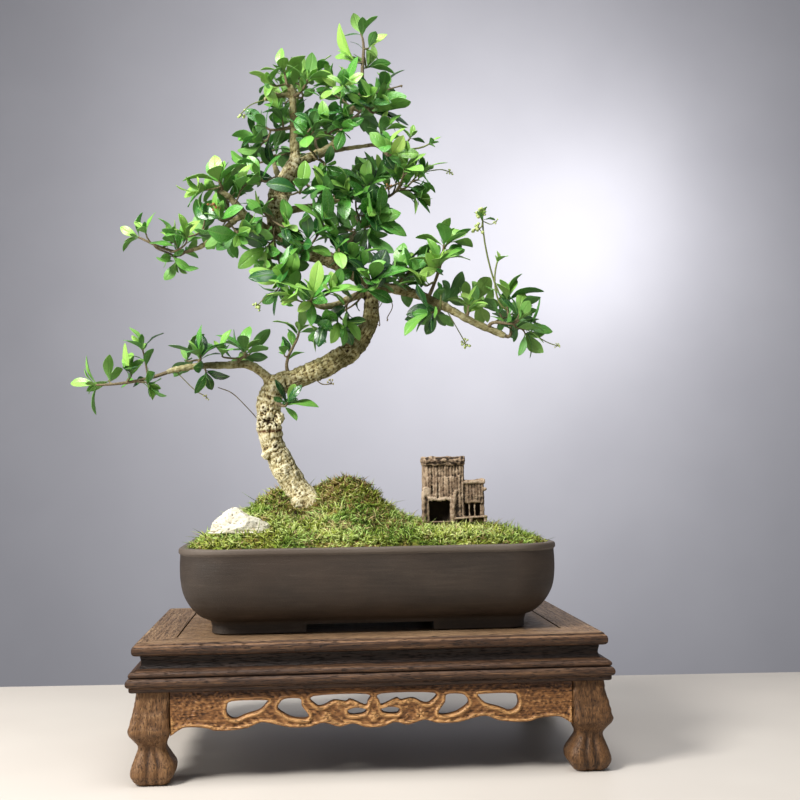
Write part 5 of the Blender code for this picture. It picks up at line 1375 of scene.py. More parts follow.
def add_annex(clay):
    """The lower annex with its window posts, slats, roof edge and thatch."""
    for x in (RIGHT + 4.8, RIGHT + 9.4):
        clay.pole((x, ANNEX_FRONT + 1.0, BASE + 4), (x, ANNEX_FRONT + 1.0, BASE + 17), 0.85)
    for index in range(7):
        x = RIGHT + 1.0 + index * 2.4
        high_x = x + clay.vary(0.3)
        low = BASE + 16.0 + clay.vary(0.6)
        clay.pole((x, ANNEX_FRONT - 0.5, low), (high_x, ANNEX_FRONT + 0.2, ANNEX_TOP - 1),
                  clay.draw.uniform(0.85, 1.15))
        clay.pole((x, ANNEX_BACK - 0.5, BASE), (x, ANNEX_BACK - 0.5, ANNEX_TOP - 1), 1.1)
    for index in range(5):
        y = ANNEX_FRONT + 1.6 + index * 4.2
        clay.pole((ANNEX_WALL, y, BASE), (ANNEX_WALL, y, ANNEX_TOP - 1), 1.3)
    for a, b in (((RIGHT - 1, ANNEX_FRONT - 0.8), (ANNEX_RIGHT, ANNEX_FRONT - 0.8)),
                 ((ANNEX_RIGHT - 0.6, ANNEX_FRONT), (ANNEX_RIGHT - 0.6, ANNEX_BACK)),
                 ((RIGHT - 1, ANNEX_BACK + 0.2), (ANNEX_RIGHT, ANNEX_BACK + 0.2))):
        clay.pole((*a, ANNEX_TOP - 0.6), (*b, ANNEX_TOP - 0.4), 1.5)
    for index in range(9):
        x = RIGHT + 2.0 + index * 1.9
        y = ANNEX_FRONT + clay.vary(0.8)
        lift = 1.6 if index > 5 else 0.4
        clay.lump(x, y, ANNEX_TOP + lift * clay.draw.uniform(0.5, 1.1), 1.5, 1.7, 1.4)
        clay.lump(x - 0.9, y + 5, ANNEX_TOP + lift * 0.6, 1.6, 3.5, 1.3)
    clay.lump(ANNEX_RIGHT + 0.2, ANNEX_FRONT - 0.4, ANNEX_TOP - 6.5, 1.5, 1.5, 1.8)


def add_bench(clay):
    """Three poles on three blocks along the hut's front."""
    for index in range(3):
        y = FRONT - 3.8 + index * 2.0
        clay.pole((LEFT + 26.5, y, BENCH - 0.9), (ANNEX_RIGHT + 1.2, y + 0.3, BENCH + 0.5), 1.1)
    for x in (LEFT + 28.5, LEFT + 41, ANNEX_RIGHT - 0.5):
        clay.blocks([((x - 1.3, FRONT - 4.0, BASE), (x + 1.3, ANNEX_FRONT + 1, BENCH - 0.4))])


def shaded_clay(points, hollow):
    """How dark each point of the hut is: painted shade in the openings, a painted highlight on the lintel and
    the arch by the door, and a darker, blotchy foot and cap.
    """
    x, y, z = points.T
    in_door = (x > DOOR_LEFT) & (x < DOOR_RIGHT) & (z < DOOR_TOP + 0.2) & (y > FRONT + 2) & (y < FRONT + 12.5)
    in_window = (x > RIGHT + 0.4) & (x < ANNEX_RIGHT - 3.5) & (z < BASE + 16.4) & (z > BASE + 4.6)
    in_window &= (y > ANNEX_FRONT + 2.4) & (y < ANNEX_FRONT + 9.8)
    # Painted shade: the insides of the door and the window made dark.
    hollow = np.where(in_door | in_window, 0.6, hollow)
    # Painted highlight on the lintel and on the arch left of the door.
    doorway_highlight = (np.abs(z - DOOR_TOP - 1.2) < 2.0) & (y < FRONT - 1.2)
    doorway_highlight &= (x > DOOR_LEFT - 1) & (x < DOOR_RIGHT + 1)
    doorway_highlight |= (z > BASE + 21.5) & (z < BASE + 29.5) & (x < DOOR_LEFT) & (y < FRONT - 0.6)
    hollow = np.where(doorway_highlight, np.minimum(hollow, 0.0) - 0.34, hollow)
    foot = (z < BASE + 21.5) & ~doorway_highlight
    hollow = np.where(foot, hollow + 0.08 + 0.25 * rough(points, 0.2, 1, 15.0), hollow)
    cap = (z > TOP - 0.5) & ((y < FRONT) | (y > BACK))
    return np.where(cap, hollow + 0.18 + 0.55 * rough(points * (1, 1, 1.6), 0.30, 2, 8.0), hollow)


def build_hut():
    """A slatted clay tower with a doorway, and a lower annex with a window and a bench."""
    clay = Clay()
    clay.blocks(TOWER_BLOCKS)
    add_slats(clay)
    add_cap(clay)
    add_doorway(clay)
    clay.blocks(ANNEX_BLOCKS)
    add_annex(clay)
    add_bench(clay)
    mesh = melted("hut", clay.mesh("hut_source"), 0.66)
    points = smoothed(mesh, places(mesh), 1)
    move_to(mesh, points)
    bumps = 0.36 * rough(points, 0.32, 2) + 0.18 * rough(points, 1.0, 1, 4.0)
    fade = soft_step(points[:, 2], BASE + 0.5, 1.5)
    move_to(mesh, points + normals(mesh) * (bumps * fade)[:, None])
    hollow = shaded_clay(places(mesh), hollows(mesh, 7))
    note(mesh, "hollow", hollow)
    shade(mesh, 60)
    add_piece("clay_house", mesh, [HUT_CLAY], "hut_clay", "clay_hut")


# Trunk and main branches

# Places along the trunk's middle, each with the trunk's radius.
TRUNK_LINE = (
    (-49, 10, 183, 14.2), (-50, 10, 195, 14.4), (-53, 10, 207, 14.0), (-57, 10, 214, 12.3),
    (-61, 10, 222, 10.9), (-66, 9, 231, 10.8), (-71, 9, 240, 10.9), (-78, 8, 254, 9.9),
    (-80, 7, 264, 10.6), (-81, 6, 277, 10.4), (-80, 5, 290, 10.6), (-77, 4, 301, 10.0),
    (-70, 3, 307, 9.2), (-59, 2, 310, 8.5), (-43, 0, 316, 8.8), (-28, -2, 323, 9.2),
    (-14, -4, 331, 8.9), (-4, -5, 340, 8.0), (3, -6, 350, 7.3), (7, -6, 360, 7.4),
    (8, -5, 371, 6.8), (6, -2, 385, 6.6), (-3, 3, 400, 6.8), (-24, 8, 413, 7.0),
    (-49, 10, 423, 7.2), (-66, 9, 435, 7.8), (-74, 6, 452, 8.2), (-69, 3, 472, 8.6),
    (-61, 1, 489, 7.4), (-54, 0, 503, 5.6),
)
# Each branch's places, and its radius at its start and at its end.
BRANCHES = {
    "leader_left": (((-56, 0, 500), (-57, -4, 525), (-58, -6, 552), (-60, -6, 565)), 4.6, 2.5),
    "cut_stub": (((-59, -6, 556), (-71, -10, 553), (-82, -14, 549)), 2.9, 2.4),
    "leader_right": (((-56, 0, 499), (-40, 4, 505), (-24, 8, 514), (-17, 8, 525), (-12, 8, 536),
                      (-4, 6, 552), (3, 4, 564), (3, 2, 577)), 4.8, 1.7),
    "right_mid": (((-27, 9, 511), (-9, -4, 510), (9, -14, 510)), 2.7, 1.9),
    "mid_right": (((-73, 5, 452), (-57, 14, 460), (-42, 20, 464), (-21, 24, 471), (-3, 24, 473),
                   (13, 18, 470)), 4.0, 2.1),
    "left_upper": (((-72, 9, 436), (-87, -6, 442), (-99, -14, 449), (-106, -18, 457), (-113, -20, 464),
                    (-120, -22, 468)), 4.8, 2.4),
    "far_left": (((-100, -14, 450), (-114, -6, 441), (-133, 4, 428), (-145, 8, 423)), 3.2, 2.2),
    "right_branch": (((6, -2, 386), (20, -6, 388), (37, -10, 384), (54, -14, 378), (74, -20, 367),
                      (92, -24, 356), (120, -28, 343)), 5.0, 3.1),
    "low_left": (((-76, 4, 301), (-84, 0, 314), (-98, -8, 322), (-115, -16, 321), (-136, -22, 320),
                  (-156, -26, 317), (-164, -27, 314)), 4.6, 2.3),
    "centre_small": (((5, -2, 384), (-9, -14, 378), (-24, -26, 370), (-36, -34, 368),
                      (-46, -40, 371)), 3.8, 2.6),
    "back_mid": (((-24, 8, 413), (-16, 36, 428), (-5, 64, 446)), 4.4, 2.2),
    "back_upper": (((-67, 3, 476), (-72, 30, 495), (-77, 52, 514)), 3.9, 2.1),
}
BURLS = (
    ((-71, -1, 276), 4.4), ((-84, 1, 245), 3.7), ((-76, -4, 300), 5.6), ((-20, -9, 331), 5.0),
    ((-68, -5, 462), 5.6), ((-62, 6, 479), 5.4), ((-76, 4, 470), 5.0), ((-57, -4, 493), 4.2),
)
SWELLINGS = (((-46, 3, 203), (10.0, 8.5, 11.0)), ((-57, 1, 202), (8.0, 7.5, 11.0)))     # at the moss
# Knots seen in the photograph: place, size and whether it is a dark eye.
NAMED_KNOTS = (
    ((-81, -5, 274), 5.2, True), ((-67, -3, 229), 2.3, False), ((-60, -4, 218), 2.4, False),
    ((-75, -3, 240), 2.0, True), ((-55, -5, 213), 1.9, True), ((-70, -4, 250), 1.9, False),
    ((-84, -3, 286), 2.4, True), ((-40, -8, 318), 2.2, False), ((-14, -12, 332), 2.4, True),
    ((0, -12, 352), 2.0, False), ((-72, -3, 458), 2.6, True), ((-66, -4, 478), 2.2, True),
)
RANDOM_KNOTS = 170
SCAR_HEIGHT = 265.8
SCAR_MIDDLE = -78.0
SCAR_SIDE = -60.0     # the ring scar is left of this
SCAR_SLOPE = 0.06
SWELL_BOTTOM = 216.0     # the trunk has no swells below this
GREY_BOTTOM = 288.0     # the bark turns grey-green above this
PALE_BOTTOM = 430.0     # thick wood is pale again above this


def branch_line(points):
    """Centreline of a main branch, with points added where only a few are given."""
    return smooth_route(points, 2 if len(points) < 5 else 1)


def wood_lines():
    """Centrelines of the trunk and of each main branch."""
    return [[Vector(point[:3]) for point in TRUNK_LINE]] + [branch_line(row[0]) for row in BRANCHES.values()]


def between(start, end, count):
    """A number of values from start to end."""
    return [start + (end - start) * step / (count - 1) for step in range(count)]


def wood_skin():
    """One smooth skin over the trunk, its branches, burls and swellings."""
    pile = Pile()
    fine = smooth_route([Vector(row) for row in TRUNK_LINE], 4)
    pile.add(*tube([place.xyz for place in fine], [place.w for place in fine], 26))
    for points, start, end in BRANCHES.values():
        line = smooth_route(branch_line(points), 3)
        pile.add(*tube(line, between(start, end, len(line)), 16))
    for place, radius in BURLS:
        pile.add(*ellipsoid(place, (radius, radius, radius * 1.25)))
    for place, reach in SWELLINGS:
        pile.add(*ellipsoid(place, reach))
    mesh = melted("trunk_wood", pile.mesh("trunk_source"), 1.05)
    move_to(mesh, smoothed(mesh, places(mesh), 4))
    return mesh


def along_wood(points):
    """Each point's place across and along the closest piece of wood, and that wood's radius."""
    lines = wood_lines()
    radii = [[row[3] for row in TRUNK_LINE]]
    radii += [between(start, end, len(line)) for line, (_, start, end) in zip(lines[1:], BRANCHES.values())]
    best = np.full(len(points), 1e9)
    local = np.zeros((len(points), 3))
    width = np.zeros(len(points))
    for index, line in enumerate(lines):
        way = 100.0 * index
        side = (line[1] - line[0]).orthogonal().normalized()
        for a, b, radius in zip(line, line[1:], radii[index]):
            length = (b - a).length
            along = (b - a).normalized()
            side = (side - along * side.dot(along)).normalized()
            share = np.clip((points - np.array(a)) @ np.array(along) / length, 0, 1)
            off = points - np.array(a) - share[:, None] * np.array(b - a)
            gap = np.linalg.norm(off, axis=1) - radius
            nearer = gap < best
            best[nearer] = gap[nearer]
            width[nearer] = radius
            other = along.cross(side)
            spot = np.column_stack([off @ np.array(side), off @ np.array(other), way + share * length])
            local[nearer] = spot[nearer]
            way += length
    return local, width


def knot_spots(points, width, thick, finder):
    """Where the knots are: the named ones, and small ones by a seeded rule."""
    draw = random.Random(23)
    spots = [(finder.find(Vector(place))[1], size, eye) for place, size, eye in NAMED_KNOTS]
    for _ in range(RANDOM_KNOTS):
        centre = draw.randrange(len(points))
        if width[centre] < 4.5 and draw.random() < 0.75:
            continue
        spots.append((centre, (0.8 + 1.9 * draw.random() ** 2) * thick[centre], draw.random() < 0.20))
    return spots


def carve_knots(points, local, width, thick, relief):
    """Raise the knots' rings and sink their eyes; returns how dark each point is."""
    finder = finder_of(points)
    knot = np.zeros(len(points))
    uneven = np.clip(1 + 1.1 * rough(points, 0.42, 2, 33.0), 0.45, 1.9)
    half_ring = rough(local * (0.10, 0.10, 1.0), 0.9, 2, 51.0) > 0
    for centre, size, eye in knot_spots(points, width, thick, finder):
        for _, index, distance in finder.find_range(Vector(points[centre]), size * 2.2):
            share = distance / size * uneven[index]
            relief[index] += 0.34 * size * math.exp(-((share - 0.80 * eye) / 0.60) ** 2)
            if eye:
                relief[index] -= 0.36 * size * math.exp(-(share / 0.50) ** 2)
                dark = math.exp(-(share / 0.55) ** 3)
            else:
                dark = 0.75 * math.exp(-((share - 1.30) / 0.30) ** 2) * half_ring[index]
            knot[index] = max(knot[index], dark)
    return knot


def build_trunk():
    """The tree's wood with cracked, knotted bark."""
    mesh = wood_skin()
    points = places(mesh)
    outward = normals(mesh)
    local, width = along_wood(points)
    thick = np.clip(width / 8, 0.25, 1.0)
    fade = soft_step(points[:, 2], SWELL_BOTTOM, 10)
    swell = (rough(points, 0.11) + 0.6 * rough(points, 0.27)) * 1.1 * fade * thick
    crack = np.clip(np.abs(rough(local * (0.75, 0.75, 0.13), 1.0, 2, 2.0)) * -3 + 0.6, 0, 0.6)
    wrinkle = rough(local * (0.10, 0.10, 1.0), 0.30, 2, 12.0)
    relief = swell - 0.95 * crack * thick + 0.8 * wrinkle * thick
    relief += 0.36 * rough(points, 0.42, 2, 6.0) * (0.4 + 0.6 * thick)
    knot = carve_knots(points, local, width, thick, relief)
    slope = SCAR_SLOPE * (points[:, 0] - SCAR_MIDDLE)
    scar = ridge(points[:, 2] - slope, SCAR_HEIGHT, 1.3) * (points[:, 0] < SCAR_SIDE)
    relief += 0.5 * scar * rough(points, 0.5, 1, 21.0) - 0.25 * scar
    move_to(mesh, points + outward * relief[:, None])
    pale = 0.65 * soft_step(points[:, 2], PALE_BOTTOM, 16) * soft_step(width, 4.8, 1.2)
    note(mesh, "scar", scar)
    # The hollow note is painted shade in the bark's cracks.
    note(mesh, "hollow", hollows(mesh, 4))
    note(mesh, "knot", knot)
    note(mesh, "grain", local)
    note(mesh, "rise", soft_step(points[:, 2], GREY_BOTTOM, 34) - pale)
    shade(mesh, 80)
    add_piece("trunk_wood", mesh, [BARK], "bark", "trunk")


# Leafy sprays

Rosette = namedtuple("Rosette", "place axis leaves length")
Leaf = namedtuple("Leaf", "base axis normal length")

# Each spray: its name, its root on the wood's centreline, and for each rosette where its
# spur ends, which way it points, how many large leaves it has and how long they are.
SPRAYS = (
    ("apex_left", (-60, -6, 563), (
        ((-65, -10, 575), (-3, -2, 10), 4, 24),
        ((-77, -16, 562), (-9, -3, 5), 3, 22),
    )),
    ("apex_centre", (-58, -6, 554), (
        ((-45, -20, 565), (3, -3, 10), 3, 24),
        ((-36, -4, 578), (4, 0, 10), 3, 24),
        ((-51, 14, 578), (2, 5, 10), 3, 24),
        ((-67, 22, 565), (-6, 8, 4), 3, 22),
    )),
    ("apex_middle", (-3, 6, 554), (
        ((-23, -12, 565), (-4, -3, 9), 3, 26),
        ((-11, -22, 560), (1, -6, 8), 3, 26),
    )),
    ("apex_top", (3, 2, 577), (
        ((2, 0, 613), (-4, 0, 10), 3, 21),
        ((9, 0, 600), (9, 0, 8), 1, 24),
        ((-3, -2, 587), (-5, -1, 9), 1, 32),
        ((8, 8, 586), (5, 5, 8), 3, 26),
    )),
    ("apex_right", (-1, 5, 558), (
        ((15, -8, 541), (9, -4, 3), 3, 34),
        ((20, 0, 564), (6, -2, 8), 3, 26),
        ((5, -22, 543), (3, -7, 5), 3, 24),
    )),
    ("apex_back", (-10, 8, 540), (
        ((8, 36, 559), (5, 7, 6), 4, 26),
        ((-14, 42, 568), (-1, 9, 6), 4, 26),
    )),
    ("apex_left_low", (-57, -4, 527), (
        ((-81, -10, 526), (-8, -2, 6), 3, 24),
        ((-84, -8, 514), (-10, -1, 1), 3, 26),
        ((-70, -14, 540), (-5, -3, 8), 3, 22),
    )),
    ("crown_front", (-20, 8, 519), (
        ((-31, -24, 522), (-1, -8, 6), 3, 26),
        ((-12, -30, 526), (2, -8, 6), 3, 24),
    )),
    ("crown_under", (-40, 4, 505), (
        ((-30, -14, 492), (3, -5, -7), 3, 24),
        ((-48, -30, 513), (-2, -8, 6), 3, 24),
    )),
    ("crown_back", (-33, 6, 509), (
        ((-36, 44, 541), (0, 9, 5), 4, 26),
        ((-54, 36, 546), (-4, 8, 5), 4, 24),
    )),
    ("right_mid", (9, -14, 510), (
        ((25, -34, 497), (3, -7, 2), 3, 24),
        ((17, -14, 520), (0, 0, 10), 3, 24),
        ((42, -24, 514), (4, 0, 9), 3, 16),
        ((59, -20, 510), (9, 0, 6), 3, 12),
    )),
    ("mid_right_end", (13, 18, 470), (
        ((36, -6, 478), (3, -6, 3), 4, 24),
        ((36, -30, 486), (0, -7, 7), 4, 24),
        ((52, -20, 485), (8, -3, 5), 4, 26),
        ((48, 10, 475), (8, 2, -3), 3, 24),
    )),
    ("mid_right_inner", (-6, 24, 473), (
        ((6, -4, 477), (-1, -7, 6), 3, 28),
        ((-11, -10, 468), (-3, -8, 2), 3, 26),
        ((13, 2, 454), (3, -5, -6), 3, 28),
        ((4, -2, 439), (6, -2, -8), 2, 36),
    )),
    ("mid_right_back", (-21, 24, 471), (
        ((4, 56, 497), (2, 8, 6), 4, 26),
        ((28, 48, 499), (6, 7, 4), 4, 26),
        ((-16, 66, 493), (-4, 8, 4), 4, 26),
    )),
    ("mid_front", (-67, 3, 476), (
        ((-52, -32, 466), (1, -9, 3), 4, 28),
        ((-33, -16, 469), (5, -7, 3), 3, 26),
    )),
    ("trunk_left_up", (-65, 2, 481), (
        ((-86, -14, 481), (-7, -4, 7), 4, 28),
    )),
    ("left_upper_tip", (-119, -22, 468), (
        ((-120, -28, 476), (-3, -2, 10), 4, 28),
        ((-134, -26, 467), (-10, -2, -2), 4, 28),
    )),
    ("left_upper_mid", (-103, -16, 454), (
        ((-119, -31, 442), (-4, -8, 4), 3, 26),
        ((-102, -28, 468), (1, -2, 10), 3, 24),
        ((-116, 8, 467), (-4, 8, 4), 3, 26),
        ((-104, -30, 429), (2, -6, -5), 3, 26),
    )),
    ("far_left", (-145, 8, 423), (
        ((-192, 12, 435), (-9, 0, 4), 3, 22),
        ((-161, 4, 433), (-3, -3, 10), 4, 28),
        ((-149, -4, 431), (-1, -6, 8), 3, 26),
        ((-137, 30, 447), (-2, 8, 6), 3, 26),
        ((-160, 16, 414), (-2, 3, -8), 3, 22),
    )),
    ("centre_left", (-66, 9, 435), (
        ((-83, -20, 450), (-6, -6, 5), 3, 24),
        ((-64, -28, 437), (2, -9, 2), 3, 24),
        ((-81, -14, 421), (-5, -4, -7), 3, 32),
        ((-65, -20, 392), (-9, -3, 1), 3, 34),
        ((-73, -8, 385), (-6, 0, -7), 3, 20),
    )),
    ("centre_front_top", (-45, 10, 422), (
        ((-46, -32, 424), (-1, -8, 7), 3, 26),
        ((-31, -26, 436), (4, -8, 0), 3, 30),
    )),
    ("centre_front", (-45, -39, 371), (
        ((-43, -50, 374), (2, -5, 9), 4, 34),
        ((-56, -44, 372), (-9, -3, 3), 3, 26),
        ((-28, -54, 377), (5, -6, 6), 3, 28),
    )),
    ("centre_right", (-12, 6, 407), (
        ((-9, -26, 407), (1, -6, 8), 3, 26),
        ((-22, -30, 416), (-1, -8, 5), 3, 26),
    )),
    ("centre_low", (-9, -14, 378), (
        ((7, -32, 390), (2, -8, 4), 4, 30),
        ((23, -24, 396), (7, -3, 6), 3, 28),
        ((-22, -38, 354), (1, -6, -6), 3, 28),
        ((-37, -30, 350), (-4, -3, -8), 3, 26),
    )),
    ("back_mid", (-5, 64, 446), (
        ((5, 84, 464), (4, 6, 7), 4, 26),
        ((-17, 88, 461), (-6, 6, 5), 4, 26),
        ((-4, 92, 440), (0, 9, -3), 4, 26),
    )),
    ("back_upper", (-77, 52, 514), (
        ((-81, 66, 530), (-2, 5, 9), 4, 26),
        ((-98, 58, 513), (-9, 3, 3), 4, 26),
        ((-61, 72, 526), (6, 7, 4), 3, 26),
    )),
    ("right_inner", (32, -9, 386), (
        ((34, -18, 399), (0, -3, 9), 4, 28),
        ((49, -8, 410), (4, 2, 9), 3, 26),
        ((39, 26, 395), (1, 8, 6), 3, 26),
    )),
    ("right_rosette", (56, -15, 377), (
        ((69, -28, 422), (1, 0, 10), 5, 28),
        ((63, -35, 404), (-2, -4, 9), 5, 28),
        ((51, -28, 388), (-5, -4, 8), 3, 26),
    )),
    ("right_under", (68, -18, 370), (
        ((57, -28, 363), (-9, -3, -3), 2, 34),
        ((66, -26, 379), (1, 0, 10), 2, 14),
        ((77, 16, 380), (3, 8, 6), 4, 26),
    )),
    ("right_mid_rosette", (87, -23, 359), (
        ((89, -28, 370), (0, -2, 10), 5, 20),
        ((100, 6, 379), (4, 7, 7), 4, 24),
    )),
    ("right_big", (118, -28, 344), (
        ((122, -30, 375), (1, -1, 10), 5, 34),
        ((114, -30, 406), (3, 0, 9), 2, 14),
        ((102, -30, 444), (0, 0, 10), 4, 12),
    )),
    ("right_end", (106, -26, 350), (
        ((129, -44, 355), (5, -4, 7), 3, 26),
        ((138, -32, 348), (10, -1, -1), 3, 28),
        ((130, -6, 365), (6, 7, 5), 3, 26),
    )),
    ("low_left_tip", (-164, -27, 314), (
        ((-220, -33, 304), (-10, 0, 0), 3, 27),
        ((-192, -36, 314), (-5, -3, 9), 3, 26),
        ((-183, -30, 334), (-3, 0, 10), 3, 24),
        ((-178, -34, 304), (5, -4, -8), 3, 22),
    )),
    ("low_left_mid", (-137, -22, 320), (
        ((-136, -27, 329), (-1, -2, 10), 5, 28),
        ((-131, -32, 313), (0, -4, -9), 2, 24),
        ((-150, 2, 327), (-3, 8, 6), 3, 24),
    )),
    ("low_left_near", (-106, -12, 322), (
        ((-99, -17, 333), (1, -1, 10), 4, 28),
        ((-118, -26, 329), (0, -3, 10), 3, 24),
        ((-97, 18, 334), (2, 8, 6), 3, 26),
    )),
    ("sprout", (-62, 2, 309), (
        ((-54, -8, 350), (2, -1, 10), 3, 24),
        ((-67, -4, 331), (-4, 0, 10), 3, 16),
    )),
    ("trunk_sprout", (-80, 5, 290), (
        ((-64, -14, 289), (5, -6, 7), 4, 26),
    )),
)
# How young each spray's leaves look, where it isn't the usual amount.
YOUTH = {
    "apex_top": 0.66, "apex_left": 0.70, "apex_centre": 0.60, "apex_middle": 0.50, "left_upper_tip": 0.62,
    "far_left": 0.56, "right_rosette": 0.62, "right_mid_rosette": 0.86, "right_big": 0.52,
    "low_left_tip": 0.50, "centre_front": 0.62, "sprout": 0.55, "right_mid": 0.52, "trunk_sprout": 0.40,
    "right_under": 0.26, "mid_right_end": 0.50, "centre_left": 0.46, "crown_under": 0.26,
    "back_mid": 0.26, "back_upper": 0.30, "mid_front": 0.30, "centre_low": 0.30,
}
USUAL_YOUTH = 0.38
# How many side shoots a spray has, as a share of the usual number, where it isn't that number.
SHOOTS = {"apex_top": 0.0, "right_big": 0.4, "low_left_tip": 0.25, "low_left_mid": 0.4, "right_under": 0.5,
          "trunk_sprout": 0.0, "sprout": 0.5}
BARE_TRUNK = ((-82.0, -48.0), (-60.0, 2.0), (436.0, 502.0))     # a box without small leaves
LOWEST_OPENING = 72.0     # degrees between a rosette's lowest leaves and its axis
OPENING_STEP = 9.0     # each higher pair opens this much less
SPUR_STEP = 1.5
FORK_STEP = 2.2
TWIG_STOP = 0.45
TWIG_BENDS = (0.3, 0.55, 0.1)
STEM_RADIUS = 1.5
STEM_CORNERS = ((1, -1), (1, 1), (-1, 1), (-1, -1))
TWIG_RADIUS = 1.0
FAR_OUT = 40.0     # further out than any wood
BLADE = 0.7
LEAF_TRIES = 14
LEAF_WIDTH = 0.46
LEAF_ARCH = 0.07
LEAF_THICKNESS = 0.34
STALK_OUT = 0.7     # how far from the spur's middle a large leaf starts, and a small one
SMALL_STALK_OUT = 0.6
SHORTER = 0.72     # share of the length of a leaf without room
SMALL_LEAF = 13.0     # shorter blades have fewer points
YOUNG_LEAF = 16.0     # rosettes with shorter leaves have green twigs
LONG_LEAF = 18.0     # rosettes with shorter leaves have fewer small ones
LEAF_CLEARANCE = 2.0
SHOOT_CLEARANCE = 4.0
SHOOT_STOPS = (0.12, 0.30, 0.48, 0.66, 0.84)     # how far along a twig its shoots start
# Share of the length and of the half-width at each row of a blade.
LEAF_ROWS = ((0.0, 0.10), (0.08, 0.13), (0.19, 0.42), (0.32, 0.73), (0.45, 0.92), (0.58, 1.0),
             (0.71, 0.95), (0.83, 0.74), (0.93, 0.42), (1.0, 0.07))
LEAF_COLUMNS = (-1.0, -0.5, 0.0, 0.5, 1.0)
# Least and most curl, droop, sway, wave start and wave height of a blade.
LEAF_BENDS = ((0.05, 0.28), (-0.02, 0.14), (-0.06, 0.06), (0, 6.3), (0.02, 0.12))


def bezier_point(handles, t):
    """A point of a cubic curve with the given end points and handles."""
    a, b, c, d = handles
    s = 1 - t
    return a * s ** 3 + b * 3 * s * s * t + c * 3 * s * t * t + d * t ** 3


def square_to(axis, way):
    """The part of a direction that is square to an axis, made one long."""
    return (way - axis * way.dot(axis)).normalized()


def round_axis(axis, turn):
    """A direction square to an axis, at some turn about it."""
    first = axis.orthogonal().normalized()
    return first * math.cos(turn) + axis.cross(first) * math.sin(turn)


def leaf_facing(axis, spread, opening, rise, face_up, draw):
    """Which way a leaf points and faces when it opens from an axis to one side."""
    direction = (axis * math.cos(opening) + spread * math.sin(opening) + UP * rise).normalized()
    normal = square_to(direction, axis * math.sin(opening) - spread * math.cos(opening) + UP * face_up)
    return direction, Matrix.Rotation(draw.uniform(-0.4, 0.4), 3, direction) @ normal


def leaf_pose(spray, rosette_index, rosette, index, attempt):
    """Where one large leaf of a rosette grows; the last one ends the spur."""
    draw = random.Random(f"{spray} {rosette_index} {index} {attempt}")
    axis = Vector(rosette.axis).normalized()
    first = Matrix.Rotation((rosette_index + 1) * 2.1, 3, axis) @ axis.orthogonal().normalized()
    last = index == rosette.leaves - 1
    stretch = index // 2
    turn = math.radians(90) * (stretch + 2 * (index % 2)) + draw.uniform(-0.35, 0.35)
    if last:
        opening = draw.uniform(0.1, 0.5)
    else:
        opening = math.radians(LOWEST_OPENING - OPENING_STEP * stretch + draw.uniform(-14, 14))
    if rosette.leaves == 1:
        opening = 0.05
    spread = first * math.cos(turn) + axis.cross(first) * math.sin(turn)
    direction, normal = leaf_facing(axis, spread, opening, 0.1, 0.3, draw)
    length = rosette.length * (1 - 0.05 * index) * draw.uniform(0.86, 1.12)
    base = Vector(rosette.place)
    if not last:
        base = base - axis * SPUR_STEP * (rosette.leaves // 2 - stretch - 0.5) + spread * STALK_OUT
    return Leaf(base, direction, normal, length)


def kept_pose(name, rosette_index, rosette, index, corners):
    """The pose that the solid's leaf has, found by its tip, else a shorter leaf in the first pose."""
    for attempt in range(LEAF_TRIES):
        leaf = leaf_pose(name, rosette_index, rosette, index, attempt)
        tip = np.array(leaf.base + leaf.axis * leaf.length)
        gaps = np.abs(np.linalg.norm(corners - tip, axis=1) - BLADE / 2)
        if (gaps < 0.03).sum() >= 2:
            return leaf
    leaf = leaf_pose(name, rosette_index, rosette, index, 0)
    return leaf._replace(length=leaf.length * SHORTER)


def extra_leaf(place, axis, turn, opening, length, draw):
    """A smaller leaf that isn't in the solid."""
    spread = round_axis(axis, turn)
    base = place + spread * SMALL_STALK_OUT
    return Leaf(base, *leaf_facing(axis, spread, opening, 0.12, 0.4, draw), length)


def blade_faces(rows, columns):
    """Faces of a thin plate of rows and columns of points, the upper side's points first."""
    size = rows * columns
    faces = []
    for row in range(rows - 1):
        for column in range(columns - 1):
            a = row * columns + column
            b, c, d = a + 1, a + columns + 1, a + columns
            faces += [(a, d, c, b), (size + a, size + b, size + c, size + d)]
        left, right = row * columns, (row + 1) * columns - 1
        faces += [(left, size + left, size + left + columns, left + columns),
                  (right, right + columns, size + right + columns, size + right)]
    for root in range(columns - 1):
        tip = (rows - 1) * columns + root
        faces += [(root, root + 1, size + root + 1, size + root), (tip, size + tip, size + tip + 1, tip + 1)]
    return faces


